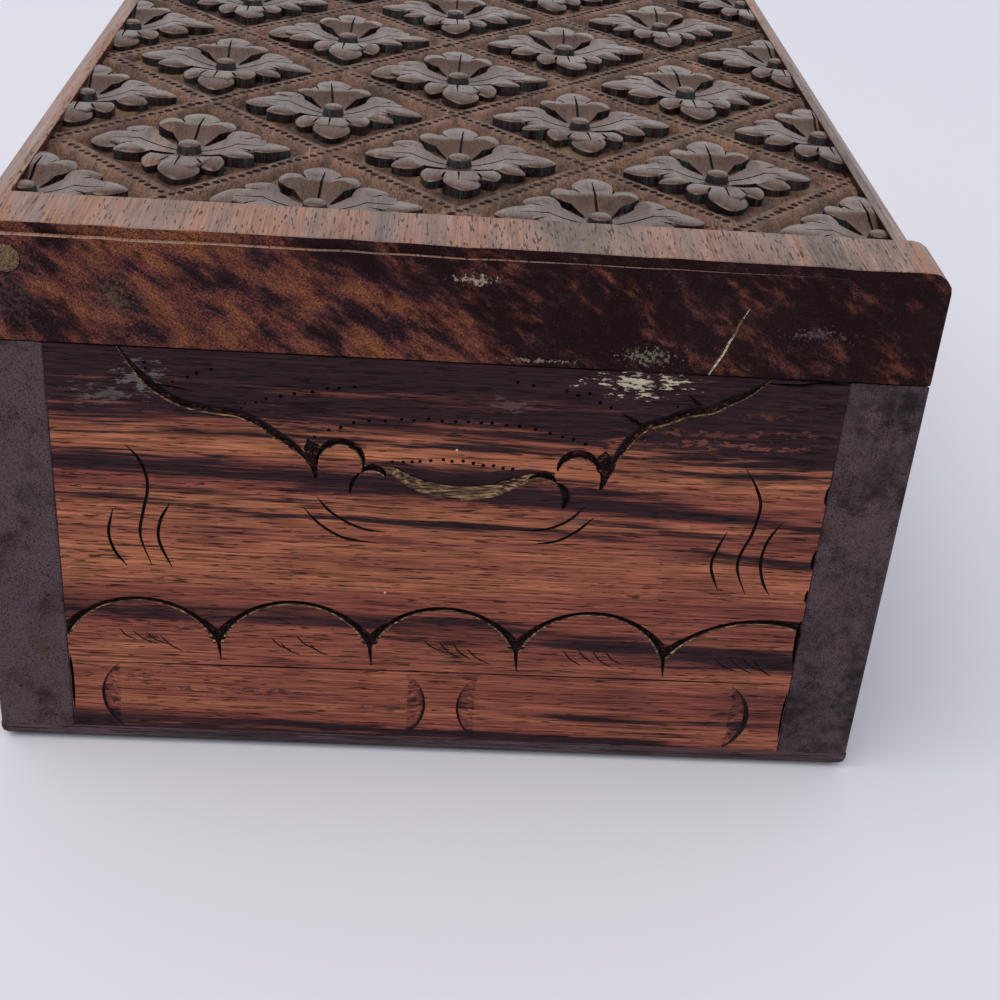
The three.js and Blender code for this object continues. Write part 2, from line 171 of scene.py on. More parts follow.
class WoodColours(bpy.types.PropertyGroup):
    """Colours of the rosewood and the fittings."""

    light: colour("Light wood", "Orange-brown of the lightest stripes", "#a06347")
    middle: colour("Middle wood", "Red-brown of the boards", "#7b4338")
    dark: colour("Dark wood", "Purple-black of the dark figure", "#2c1b1f")
    maroon: colour("Maroon wood", "Red-black of the lid's edges and the torn cuts", "#1d0b0c")
    black: colour("Black wood", "Almost black pores and stain", "#120a0b")
    side: colour("Side wood", "Purple-brown of the end grain", "#4c3d42")
    rust: colour("Rusty wood", "Rusty mottles of the lid's edges", "#7c4a30")
    pink: colour("Worn wood", "Pale pink-brown of the rubbed strips", "#886c60")
    rose: colour("Rosy wood", "Orange stripes of the rubbed strips", "#8f6550")
    grey: colour("Grey wood", "Grey stripes of the rubbed strips", "#6b5b53")
    umber: colour("Umber wood", "Brown of the carving", "#4a3429")
    taupe: colour("Taupe wood", "Grey-brown of the carving where hands rub it", "#594136")
    # Painted reflection: blue-grey streaks on the cut walls stand for the shine of the pale surroundings
    slate: colour("Painted wall reflection", "Blue-grey shine of the cut walls", "#2b3130")
    # Grime is also laid as painted shade in the corners of the carving
    grime: colour("Grime", "Dark film of old handling", "#2a1d1f")
    dust: colour("Dust", "Old polish and dust in the corners", "#7e6449")
    straw: colour("Straw", "Golden fibres of freshly torn wood", "#9e7856")
    scuff: colour("Scuff", "Pale scuffs and specks", "#c2b6a6")
    brass: colour("Brass", "Aged brass of the hinges", "#b08d4a")
    steel: colour("Steel", "Dull steel of the nails", "#6f6c68")


class StageSettings(bpy.types.PropertyGroup):
    """Camera, lamps and floor."""

    lens: FloatProperty(
        name="Lens", description="Focal length for a 36 mm sensor", default=57.934, unit="CAMERA")
    floor_colour: colour("Floor", "Pale floor", "#d7d6dd")
    sky_strength: FloatProperty(name="Sky strength", description="Strength of the even light", default=0.94)
    window_power: FloatProperty(
        name="Window power", description="Power of the large lamp", default=18.0, unit="POWER")


SETTINGS = (
    ("box_field", CarvedFieldSizes),
    ("box_flower", FlowerSizes),
    ("box_lines", IncisionSizes),
    ("box_colours", WoodColours),
    ("box_stage", StageSettings),
)


# Meshes

def box_mm(node):
    """A node's lowest and highest corners, in millimetres."""
    low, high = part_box(node)
    return low / MM, high / MM


def scratch(bm):
    """An object that holds a bmesh for a moment."""
    mesh = bpy.data.meshes.new("scratch")
    bm.to_mesh(mesh)
    bm.free()
    piece = bpy.data.objects.new("scratch", mesh)
    bpy.context.scene.collection.objects.link(piece)
    return piece


def discard(piece):
    """Removes a scratch object and its mesh."""
    mesh = piece.data
    bpy.data.objects.remove(piece)
    bpy.data.meshes.remove(mesh)


def combined(base, tool, operation):
    """The join, cut or overlap of two closed bmeshes, which are both used up."""
    before = (len(base.verts), len(base.faces))
    pieces = [scratch(base), scratch(tool)]
    modifier = pieces[0].modifiers.new("combine", "BOOLEAN")
    modifier.solver = "MANIFOLD"
    modifier.material_mode = "INDEX"
    modifier.operation = operation
    modifier.object = pieces[1]
    finished = pieces[0].evaluated_get(bpy.context.evaluated_depsgraph_get())
    mesh = bpy.data.meshes.new_from_object(finished)
    for piece in pieces:
        discard(piece)
    if not mesh.polygons or (len(mesh.vertices), len(mesh.polygons)) == before:
        raise RuntimeError(f"the solver could not finish this step: {operation}")
    result = bmesh.new()
    result.from_mesh(mesh)
    bmesh.ops.remove_doubles(result, verts=result.verts, dist=MERGE)
    bmesh.ops.dissolve_degenerate(result, edges=result.edges, dist=MERGE)
    if any(not e.is_manifold for e in result.edges):
        # Here welding would have opened the mesh, so the solver's own closed one is kept
        result.clear()
        result.from_mesh(mesh)
    bpy.data.meshes.remove(mesh)
    return result


def cut(base, tool):
    """What is left of a bmesh where a tool was cut out of it."""
    return combined(base, tool, "DIFFERENCE")


def joined(base, tool):
    """Two bmeshes as one closed one."""
    return combined(base, tool, "UNION")


def stained(bm, material):
    """Gives every face of a cutter the material that its cut is to show."""
    for face in bm.faces:
        face.material_index = material
    return bm


def moved(bm, matrix):
    """The bmesh, after it was placed by a matrix."""
    bmesh.ops.transform(bm, matrix=matrix, verts=bm.verts)
    return bm


def turned(degrees, axis="Z"):
    """A turn about one of the axes through the origin."""
    return Matrix.Rotation(math.radians(degrees), 4, axis)


def stretched(x, y=1, z=1):
    """A stretch along the axes from the origin."""
    return Matrix.Diagonal((x, y, z, 1))


def noise_at(place, waves, layer):
    """Smooth noise from -1 to 1 over a flat place, with waves of so many millimetres each way."""
    return noise.noise(Vector((place.x / waves[0], place.y / waves[1], layer)))


def all_joined(parts):
    """Closed bmeshes joined one after another."""
    whole = None
    for part in parts:
        whole = joined(whole, part) if whole else part
    return whole


def add_copy(bm, mesh, matrix):
    """Adds a placed copy of a mesh to a bmesh."""
    copy = mesh.copy()
    copy.transform(matrix)
    bm.from_mesh(copy)
    bpy.data.meshes.remove(copy)


def block(low, high):
    """A plain block between two corners."""
    bm = bmesh.new()
    bmesh.ops.create_cube(bm, size=1)
    low, high = Vector(low), Vector(high)
    return moved(bm, Matrix.Translation((low + high) / 2) @ stretched(*(high - low)))


def drawn_out(bm, faces):
    """Extrudes some faces and gives the new corners, which are still to be moved."""
    drawn = bmesh.ops.extrude_face_region(bm, geom=faces)
    return [v for v in drawn["geom"] if isinstance(v, bmesh.types.BMVert)]


def prism(outline, foot, top):
    """An outline in X and Y, drawn up from foot to top."""
    bm = bmesh.new()
    face = bm.faces.new([bm.verts.new((x, y, foot)) for x, y in outline])
    bmesh.ops.translate(bm, verts=drawn_out(bm, [face]), vec=(0, 0, top - foot))
    bmesh.ops.recalc_face_normals(bm, faces=bm.faces)
    return bm


def spun_post(radius, top, foot, dome, steps=18, rings=5, fullness=0.75):
    """A round post with a domed top, spun from its profile about the upright axis."""
    bm = bmesh.new()
    turns = [math.pi / 2 * k / rings for k in range(rings + 1)]
    profile = [(radius * math.sin(a) ** fullness, top - dome + dome * math.cos(a)) for a in turns]
    profile += [(radius, foot), (0, foot)]
    verts = [bm.verts.new((x, 0, z)) for x, z in profile]
    edges = [bm.edges.new(pair) for pair in zip(verts, verts[1:])]
    bmesh.ops.spin(
        bm, geom=verts + edges, cent=(0, 0, 0), axis=(0, 0, 1), dvec=(0, 0, 0),
        angle=2 * math.pi, steps=steps, use_merge=True,
    )
    bmesh.ops.remove_doubles(bm, verts=bm.verts, dist=MERGE)
    bmesh.ops.recalc_face_normals(bm, faces=bm.faces)
    return bm


def frame_copy(node):
    """A frame solid as a clean bmesh in millimetres, with its loose triangles merged."""
    bm = bmesh.new()
    bm.from_mesh(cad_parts[node].data)
    bmesh.ops.scale(bm, vec=(1 / MM, 1 / MM, 1 / MM), verts=bm.verts)
    bmesh.ops.remove_doubles(bm, verts=bm.verts, dist=MERGE)
    bmesh.ops.dissolve_degenerate(bm, edges=bm.edges, dist=MERGE)
    return bm


def flatten_joins(bm, angle=0.4):
    """Joins faces that lie in one plane."""
    bmesh.ops.dissolve_limit(
        bm, angle_limit=math.radians(angle), verts=bm.verts, edges=bm.edges, use_dissolve_boundaries=False
    )
    return bm


def rounded(bm, edges, width, segments):
    """Rounds some edges."""
    bmesh.ops.bevel(
        bm, geom=edges, offset=width, offset_type="OFFSET", affect="EDGES", segments=segments,
        profile=0.5, material=-1, clamp_overlap=True,
    )


def wear_edges(bm, width, least_length):
    """Rounds the long outer edges, as handling does."""
    least_angle = math.radians(40)
    worn = [
        e for e in bm.edges
        if e.is_manifold and e.is_convex and e.calc_length() > least_length
        and e.calc_face_angle() > least_angle
    ]
    rounded(bm, worn, width, segments=3)


def slice_across(bm, places):
    """Gives every face a row of corners at each of some places along X.

    Blender leaves the corners and faces in an order of its own each run, so they are sorted."""
    for x in places:
        everything = bm.verts[:] + bm.edges[:] + bm.faces[:]
        bmesh.ops.bisect_plane(bm, geom=everything, plane_co=(x, 0, 0), plane_no=(1, 0, 0))
    corners = sorted(bm.verts, key=lambda v: tuple(v.co))
    number = {v: k for k, v in enumerate(corners)}
    faces = []
    for face in bm.faces:
        ring = [number[v] for v in face.verts]
        first = ring.index(min(ring))
        faces.append((ring[first:] + ring[:first], face.material_index))
    points = [v.co.copy() for v in corners]
    bm.clear()
    verts = [bm.verts.new(point) for point in points]
    for ring, material in sorted(faces):
        bm.faces.new([verts[k] for k in ring]).material_index = material


def settle(bm, name, materials, body, replaces=(), pick=None, sharp=SHARP_ANGLE):
    """Makes the bmesh a finished piece in metres that rides on a body.

    The faces keep the materials that the cutters left on them, unless pick gives others."""
    bmesh.ops.scale(bm, vec=(MM, MM, MM), verts=bm.verts)
    for face in bm.faces:
        face.smooth = True
        if pick:
            face.material_index = pick(face)
    mesh = bpy.data.meshes.new(name)
    bm.to_mesh(mesh)
    bm.free()
    mesh.set_sharp_from_angle(angle=sharp)
    for material in materials:
        mesh.materials.append(material)
    piece = bpy.data.objects.new(name, mesh)
    bpy.context.scene.collection.objects.link(piece)
    evened = piece.modifiers.new("evened shading", "WEIGHTED_NORMAL")
    evened.keep_sharp = True
    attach(piece, body)
    if replaces:
        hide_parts(*replaces)


# Materials

def add_node(tree, kind, inputs, output=0, stops=None, **settings):
    """Adds a shader node with its settings, its inputs by name or number, and a ramp's stops.

    An input is a value or another node's output. The result is one of this node's outputs."""
    made = tree.nodes.new("ShaderNode" + kind)
    for name, value in settings.items():
        setattr(made, name, value)
    for key, value in inputs.items():
        if isinstance(value, bpy.types.NodeSocket):
            tree.links.new(value, made.inputs[key])
        else:
            made.inputs[key].default_value = value
    if stops:
        elements = made.color_ramp.elements
        while len(elements) > 1:
            elements.remove(elements[-1])
        elements[0].position, elements[0].color = stops[0]
        for place, shade in stops[1:]:
            elements.new(place).color = shade
    return made.outputs[output] if made.outputs else None


def opaque(shade):
    """A colour with its alpha."""
    return (*shade, 1)


def new_material(name):
    """A material, and its node tree, which is still empty."""
    material = bpy.data.materials.new(name)
    material.use_nodes = True
    tree = material.node_tree
    tree.nodes.clear()
    return material, tree


def rosewood(name, look):
    """Oiled rosewood cut from one solid pattern, so long grain and end grain both come right.

    look gives turn, the rotation that lays the grain along X, and seed, the part of the log that
    the board is cut from. The rest are its colours and the strengths and sizes of its marks."""
    material, tree = new_material(name)
    add = partial(add_node, tree)
    colours = look.colours
    soft = {"interpolation_type": "SMOOTHSTEP"}
    place = add("TexCoord", {}, "Object")
    in_log = add("Mapping", {
        "Vector": place, "Scale": (1 / MM, 1 / MM, 1 / MM), "Rotation": look.turn, "Location": look.seed})

    def marks(along, across, detail, roughness, source=in_log, upright=1.0, output="Fac"):
        """Noise whose marks are so many millimetres long and wide."""
        scaled = add("Mapping", {
            "Vector": source, "Scale": (1 / along, 1 / across, 1 / (across * upright))})
        return add("TexNoise", {
            "Vector": scaled, "Scale": 1.0, "Detail": detail, "Roughness": roughness}, output)

    def shifted(value, noise_value, strength):
        """A value that a noise moves up and down."""
        shift = add("Math", {0: noise_value, 1: 0.5}, operation="SUBTRACT")
        shift = add("Math", {0: shift, 1: strength}, operation="MULTIPLY")
        return add("Math", {0: value, 1: shift}, operation="ADD")

    def covered(wood, shade, cover, strength):
        """The wood under a coat of one colour, as thick as cover says and as strong as strength."""
        cover = add("Math", {0: cover, 1: strength}, operation="MULTIPLY")
        return add("Mix", {0: cover, 6: wood, 7: opaque(shade)}, 2, data_type="RGBA")

    # The grain sways a little on its way through the board
    sway = marks(55, 16, 2.0, 0.5, output="Color")
    sway = add("VectorMath", {0: sway, 1: (0.0, look.sway, look.sway)}, operation="MULTIPLY")
    swayed = add("VectorMath", {0: in_log, 1: sway}, operation="ADD")

    # Zones of the board, from pale to dark
    bias = look.darkness
    if look.zones:
        first, last = look.zones[0][0], look.zones[-1][0]
        height = add("VectorMath", {0: place, 1: look.zone_direction}, "Value", operation="DOT_PRODUCT")
        height = shifted(height, marks(60, 10, 2.0, 0.5), 6 * MM)
        share = add("MapRange", {"Value": height, "From Min": first * MM, "From Max": last * MM})
        bias = add("ValToRGB", {"Fac": share}, stops=[
            ((at - first) / (last - first), opaque((level, level, level))) for at, level in look.zones])

    # Stripes of the growth, light to dark, with frayed edges, and darker in the dark zones
    fibre = marks(9, 0.24, 2.0, 0.6)
    broad = marks(look.stripe_length, look.stripe_width, look.stripe_detail, 0.6, swayed, look.upright)
    broad = shifted(broad, fibre, 0.12)
    if look.zones:
        broad = shifted(broad, bias, -look.zone_shade)
    base = add("ValToRGB", {"Fac": broad}, stops=[
        (share, opaque(colours[shade])) for share, shade in look.stripes])

    # Dark figure: streaks that follow the zones, coarse and fine
    coarse = marks(look.streak_length, look.streak_width, 6.0, 0.62, swayed, look.upright)
    fine = marks(look.streak_length / 3, look.streak_width / 3, 3.0, 0.65, swayed, look.upright)
    figure = shifted(bias, coarse, look.streak_spread)
    figure = shifted(figure, marks(48, 13, 1.0, 0.5), 0.7)
    figure = shifted(figure, fine, look.fine_spread)
    figure = shifted(figure, fibre, 0.4)
    low, high = look.figure_edge
    figure = add("MapRange", {"Value": figure, "From Min": low, "From Max": high}, **soft)
    base = add("Mix", {0: figure, 6: base, 7: opaque(colours[look.figure])}, 2, data_type="RGBA")

    # Fine fibres and open pores
    tone = add("MapRange", {
        "Value": fibre, "From Min": 0.25, "From Max": 0.75,
        "To Min": 0.5 - look.fibre_strength, "To Max": 0.5 + look.fibre_strength})
    base = add("Mix", {0: 1.0, 6: base, 7: tone}, 2, data_type="RGBA", blend_type="OVERLAY")
    pores = marks(look.pore_length, look.pore_width, 1.0, 0.5)
    pores = shifted(pores, marks(30, 7, 2.0, 0.5), 0.16)
    pores = add("MapRange", {
        "Value": pores, "From Min": look.pores_from, "From Max": look.pores_from + 0.04}, **soft)
    base = covered(base, colours["black"], pores, look.pore_strength)

    # Grime and pale dust that years of use leave, and painted shade in the corners
    grime = add("MapRange", {"Value": marks(13, 10, 5.0, 0.65), "From Min": 0.5, "From Max": 0.75}, **soft)
    base = covered(base, colours["grime"], grime, look.grime)
    if look.dust:
        dust = marks(look.dust_size * 1.4, look.dust_size, 4.0, 0.7)
        dust = add("MapRange", {
            "Value": dust, "From Min": look.dust_from, "From Max": look.dust_from + 0.07}, **soft)
        base = covered(base, colours[look.dust_shade], dust, look.dust)
    if look.corner_dust:
        # Painted shade: the ground is laid darker with the grime colour where it lies deep in a corner
        # beside a flower or a band, and dust drifts into the same corners
        corner = add("Attribute", {}, "Fac", attribute_name=CORNER)
        base = covered(base, colours["grime"], corner, look.corner_dust)
        drift = shifted(corner, marks(5, 4, 1.0, 0.5), 2.6)
        drift = shifted(drift, marks(1.2, 0.25, 3.0, 0.7, swayed), 1.2)
        drift = add("MapRange", {"Value": drift, "From Min": 0.7, "From Max": 1.3}, **soft)
        base = covered(base, colours["dust"], drift, look.corner_dust)

    # Scuffs: a middle, a reach each way, a colour and how much of the wood they hide
    if look.scuffs:
        flakes = marks(1.5, 0.45, 5.0, 0.7)
    for middle, reach, shade, strength in look.scuffs:
        away = add("VectorMath", {0: place, 1: tuple(m * MM for m in middle)}, operation="SUBTRACT")
        away = add("VectorMath", {0: away, 1: tuple(r * MM for r in reach)}, operation="DIVIDE")
        away = add("VectorMath", {0: away}, "Value", operation="LENGTH")
        near = add("Math", {0: 0.65, 1: away}, operation="SUBTRACT")
        shown = add("MapRange", {
            "Value": shifted(near, flakes, 4.6), "From Min": 0.3, "From Max": 0.6}, **soft)
        within = add("Math", {0: away, 1: 1.15}, operation="LESS_THAN")
        shown = add("Math", {0: shown, 1: within}, operation="MULTIPLY")
        base = covered(base, linear(shade), shown, strength)

    # Specks of dust, in some cells of a grid
    cell = 6.25
    speck = add("TexVoronoi", {"Vector": in_log, "Scale": 1 / cell, "Randomness": 1.0}, "Distance")
    chosen = add("SeparateColor", {"Color": speck.node.outputs["Color"]})
    speck = add("Math", {0: speck, 1: 0.02}, operation="LESS_THAN")
    chosen = add("Math", {0: chosen, 1: 0.7}, operation="GREATER_THAN")
    speck = add("Math", {0: speck, 1: chosen}, operation="MULTIPLY")
    base = add("Mix", {0: speck, 6: base, 7: opaque(colours["scuff"])}, 2, data_type="RGBA")

    # Polish that wore off in places, and the relief of fibres, pores and tool marks
    gloss = add("MapRange", {
        "Value": marks(9, 3, 4.0, 0.6), "From Min": 0.3, "From Max": 0.7,
        "To Min": look.roughness - 0.06, "To Max": look.roughness + 0.12}, **soft)
    relief = add("Math", {0: fibre, 1: 0.5}, operation="MULTIPLY")
    sunk = add("Math", {0: pores, 1: 0.8}, operation="MULTIPLY")
    relief = add("Math", {0: relief, 1: sunk}, operation="SUBTRACT")
    tooled = add("Math", {0: marks(3, 2.2, 3.0, 0.6), 1: look.tool_marks}, operation="MULTIPLY")
    relief = add("Math", {0: relief, 1: tooled}, operation="ADD")
    bump = add("Bump", {"Height": relief, "Strength": 1.0, "Distance": look.relief * MM})
    shader = add("BsdfPrincipled", {
        "Base Color": base, "Roughness": gloss, "Normal": bump, "IOR": 1.5,
        "Specular IOR Level": look.specular, "Specular Tint": look.sheen,
        "Coat Weight": look.coat, "Coat Roughness": 0.3})
    add("OutputMaterial", {"Surface": shader})
    return material


# Rotations that lay the grain along Y and along Z
ALONG_Y = (0, 0, math.radians(90))
ALONG_Z = (0, math.radians(90), 0)
# The attribute that says how deep in a corner of the carving a point lies, where painted shade and dust are
# laid
CORNER = "corner"

# How dark the figure of an end panel is at some heights above the table, in millimetres
END_PANEL_ZONES = [
    (0, 1.0), (3, 0.95), (4.2, 0.3), (6, 0.38), (6.8, 0.7), (7.6, 0.3), (10, 0.22), (12.4, 0.32),
    (13.4, 0.45), (15, 0.35), (16.4, 0.5), (17.2, 0.95), (18.6, 0.85), (19.6, 0.4), (22, 0.46),
    (24.5, 0.3), (27, 0.4), (30, 0.3), (31.4, 0.78), (32.6, 0.38), (33.6, 0.65), (34.6, 0.4),
    (36.2, 1.0), (37.4, 0.85), (38.6, 0.5), (40, 0.5), (41.5, 0.72), (43.4, 0.92), (45, 1.15),
    (46.4, 1.02), (48, 1.25), (52, 1.3),
]
# How dark the edge of the lid is, on a slanting way from low X to high X
LID_EDGE_ZONES = [
    (35, 0.7), (47, 0.55), (62, 0.32), (76, 0.42), (84, 0.7), (94, 0.98), (110, 0.88), (139, 0.98),
]
# How dark the long walls are from the back one to the front one, darker towards the front one as painted
# shade
SIDE_SHADE_ZONES = [(-52, 0.2), (0, 0.4), (52, 0.62)]


def wood_look(colours, **changes):
    """The look of plain oiled rosewood, with what one board has of its own."""
    look = SimpleNamespace(
        colours=colours, turn=(0, 0, 0), seed=(0, 0, 0), sway=2.5, upright=1.0,
        stripe_length=110, stripe_width=5, stripe_detail=6.0,
        stripes=[(0.34, "plum"), (0.44, "middle"), (0.54, "russet"), (0.64, "light")],
        streak_length=34, streak_width=1.2, streak_spread=1.7, fine_spread=1.5,
        figure="dark", figure_edge=(0.5, 0.92), darkness=0.4,
        zones=None, zone_direction=(0.045, 0, 1), zone_shade=0.16, fibre_strength=0.38,
        pore_length=2.4, pore_width=0.17, pore_strength=0.8, pores_from=0.63,
        grime=0.3, dust=0.0, dust_from=0.6, dust_size=0.8, dust_shade="dust", corner_dust=0.0, scuffs=(),
        roughness=0.42, specular=0.15, sheen=(1, 1, 1, 1), coat=0.0, tool_marks=0.5, relief=0.06,
    )
    for name, value in changes.items():
        setattr(look, name, value)
    return look


def make_woods():
    """Every finish of the wood, once."""
    chosen = bpy.context.scene.box_colours
    colours = {name: tuple(getattr(chosen, name)) for name in type(chosen).__annotations__}

    def between(first, second, share):
        """A colour on the way from one of the colours to another."""
        return tuple(a + (b - a) * share for a, b in zip(colours[first], colours[second]))

    colours["russet"] = between("middle", "light", 0.5)
    colours["plum"] = between("dark", "middle", 0.5)
    colours["clay"] = between("umber", "rose", 0.5)
    front = box_mm("near_end_panel")[0].y
    panel = dict(
        zones=END_PANEL_ZONES, seed=(11, 3, 7), specular=0.08,
        scuffs=[
            ((19.4, front, 50.6), (7.5, 2, 2.5), "#c2b99c", 0.85),
            ((-31.6, front, 48.4), (4, 2, 3), "#77706a", 0.55),
            ((-35.5, front, 46.4), (6, 2, 2.2), "#6b6361", 0.45),
            ((6.5, front, 47.2), (4.5, 2, 1.6), "#6a5d58", 0.35),
            ((14.8, front, 33.4), (2.6, 2, 1.3), "#665650", 0.35),
            ((-33.6, front, 9.8), (4.4, 2, 1.6), "#3a2527", 0.85),
            ((-22, front, 8.4), (13, 2, 0.8), "#40292a", 0.8),
            ((-5, front, 6.6), (12, 2, 0.9), "#40292a", 0.75),
            ((-26, front, 17.4), (9, 2, 1.2), "#3c282a", 0.7),
            ((-14, front, 18.4), (6, 2, 1.1), "#3a2729", 0.75),
            ((29, front, 43.6), (15, 2, 0.9), "#744636", 0.8),
            ((26, front, 44.9), (12, 2, 0.7), "#653c31", 0.75),
            ((37, front, 45.4), (7, 2, 0.5), "#6b4034", 0.7),
            ((33, front, 47.3), (11, 2, 0.7), "#5a352b", 0.7),
            ((36, front, 48.6), (8, 2, 0.5), "#4f2f28", 0.6)])
    # How much darker the gouged hollows are painted, as painted shade
    hollow_shade = 0.25
    shaded = [(at, level + hollow_shade) for at, level in END_PANEL_ZONES]
    finishes = {
        # Flat-sawn face, oiled and rubbed: red-brown wood with purple-black streaks
        "panel": ("oiled_rosewood_panel", panel),
        # The same face where a gouge hollowed it, painted darker as painted shade
        "hollow": ("shaded_gouged_rosewood_panel", dict(panel, zones=shaded, grime=0.5, scuffs=())),
        # End grain and long grain of the walls: dark purple-brown, little contrast, painted darker towards
        # the front wall as shade
        "side": ("oiled_rosewood_side", dict(
            turn=ALONG_Y, seed=(40, 22, 5), roughness=0.46, grime=0.35, figure="black",
            zones=SIDE_SHADE_ZONES, zone_direction=(1, 0, 0), zone_shade=0, fibre_strength=0.24,
            streak_width=4, streak_spread=1.3, stripe_width=6, figure_edge=(0.25, 1.25),
            stripes=[(0.34, "dark"), (0.46, "side"), (0.58, "side"), (0.7, "umber")])),
        # The lid's edges: almost black end grain with rusty mottles where the oil wore off
        "lid_edge": ("oiled_rosewood_lid", dict(
            turn=(0, math.radians(55), math.radians(90)), seed=(5, 60, 12), upright=2.2,
            stripe_width=3, stripe_length=12, stripe_detail=9.0, streak_width=2.4, streak_length=13,
            fine_spread=2.3, fibre_strength=0.36, sway=4, specular=0.06, figure="maroon",
            zones=LID_EDGE_ZONES, zone_direction=(1, 0, 1.5), figure_edge=(0.25, 1.25),
            dust=0.25, dust_size=0.4, dust_from=0.64,
            stripes=[(0.34, "maroon"), (0.43, "dark"), (0.51, "plum"), (0.64, "rust")],
            scuffs=[
                ((37, front, 57), (5.5, 2, 1.3), "#75676a", 0.35),
                ((9, front, 52.5), (7, 2, 0.45), "#958a74", 0.55),
                ((20, front, 53.6), (4.6, 2, 1.9), "#77715f", 0.7),
                ((2, front, 61), (3.6, 2, 1), "#b5a78f", 0.6),
                ((-34, front, 57), (4, 2, 4.5), "#5f5044", 0.5),
                ((-45, front, 56.5), (8, 2, 6), "#453539", 0.6)])),
        # The strips at both ends of the lid, rubbed pale by hands
        "lid_strip": ("rubbed_rosewood_strip", dict(
            turn=ALONG_Y, seed=(5, 60, 12), roughness=0.42, specular=0.3, sheen=(1, 0.88, 0.82, 1),
            grime=0.35, darkness=0.05, figure="umber", stripe_width=11, stripe_detail=2.0,
            pore_length=1.8, pore_width=0.27, pores_from=0.64, pore_strength=0.8, fibre_strength=0.2,
            scuffs=[((27, front, 64), (34, 10, 8), "#553d35", 0.32)],
            stripes=[(0.36, "grey"), (0.44, "pink"), (0.5, "rose"), (0.56, "pink"), (0.64, "grey")])),
        # Tops of the flowers, polished by touch
        "carving": ("polished_rosewood_carving", dict(
            turn=ALONG_Y, seed=(9, 14, 3), roughness=0.32, specular=0.5, coat=0.42, grime=0.3, darkness=0.2,
            sheen=(1, 0.86, 0.78, 1), fibre_strength=0.2, figure="umber", pores_from=0.66, relief=0.1,
            stripes=[(0.36, "umber"), (0.5, "taupe"), (0.62, "umber"), (0.7, "clay")])),
        # The ground and the bands, left rough from the gouge, with dust and painted shade in the corners
        "ground": ("gouged_rosewood_ground", dict(
            turn=ALONG_Y, seed=(19, 4, 3), roughness=0.5, specular=0.35, sheen=(1, 0.88, 0.8, 1),
            grime=0.5, darkness=0.25, tool_marks=1.5, relief=0.14, dust=0.4, dust_from=0.55,
            corner_dust=0.7, fibre_strength=0.16, stripe_width=9, stripe_length=24,
            stripes=[(0.36, "umber"), (0.47, "clay"), (0.53, "umber"), (0.63, "clay"), (0.7, "rose")])),
        # Punched dots: a little darker than the wood round them
        "punch": ("punched_rosewood_dot", dict(
            turn=ALONG_Y, seed=(2, 4, 33), roughness=0.6, darkness=0.1, pore_strength=0.3,
            stripes=[(0.4, "grime"), (0.6, "umber")])),
        # Cut walls of the flowers, stained almost black, with the blade's marks running down them and
        # painted blue-grey reflections streaked along them
        "wall": ("stained_wall_with_painted_reflection", dict(
            turn=ALONG_Z, seed=(2, 4, 33), roughness=0.36, specular=0.3, grime=0.2, darkness=0.25,
            figure="black", stripe_width=1.4, stripe_length=8, streak_width=0.8,
            dust=0.3, dust_from=0.64, tool_marks=1.0, relief=0.14,
            stripes=[(0.42, "black"), (0.5, "dark"), (0.6, "slate")])),
        # Lines and pricks of the knife, black with stain and with painted shade
        "line": ("stained_and_shaded_rosewood_line", dict(
            seed=(4, 9, 3), roughness=0.6, darkness=0.6, figure="black", grime=0.5,
            stripes=[(0.4, "black"), (0.7, "dark")])),
        # Torn wood in the wide cuts: dark and granular with pale specks
        "rough": ("torn_rosewood_cut", dict(
            seed=(8, 1, 6), roughness=0.6, specular=0.05, darkness=0.3, figure="black",
            stripe_length=1.2, stripe_width=0.5, streak_length=1.4, streak_width=0.4,
            dust=0.8, dust_from=0.625, dust_size=0.3, dust_shade="straw", tool_marks=2.5, relief=0.2,
            stripes=[(0.38, "black"), (0.54, "maroon"), (0.68, "plum")])),
        # Torn fibres on the lower edge of a cut, golden with dust, and pale partly as a painted highlight
        # on the edge turned up to the light
        "fibre": ("torn_fibre_and_painted_highlight", dict(
            seed=(3, 9, 1), roughness=0.65, grime=0.15, darkness=0.22, figure="maroon", sway=1.2,
            stripe_length=3.5, stripe_width=0.2, streak_length=3, streak_width=0.2, pore_strength=0.5,
            dust=0.5, dust_from=0.66, dust_size=0.3, dust_shade="scuff", tool_marks=1.5, relief=0.15,
            stripes=[(0.36, "maroon"), (0.47, "umber"), (0.57, "dust"), (0.68, "straw")])),
        # Chalky dust that fills a crack
        "chalk": ("dusty_rosewood_crack", dict(
            seed=(3, 9, 1), roughness=0.8, grime=0.2, darkness=0.0,
            stripes=[(0.4, "dust"), (0.5, "scuff")])),
        # The bottom board: dull, dark and dusty
        "base": ("oiled_rosewood_base", dict(
            seed=(70, 4, 3), roughness=0.55, darkness=0.35, grime=0.5,
            stripes=[(0.3, "dark"), (0.5, "side"), (0.7, "plum")])),
        # A short peg of paler wood
        "plug": ("oiled_boxwood_plug", dict(
            turn=ALONG_Y, seed=(7, 7, 7), roughness=0.55, darkness=0.2, grime=0.6,
            stripes=[(0.3, "umber"), (0.6, "dust")])),
    }
    return {
        key: rosewood(name, wood_look(colours, **changes)) for key, (name, changes) in finishes.items()}


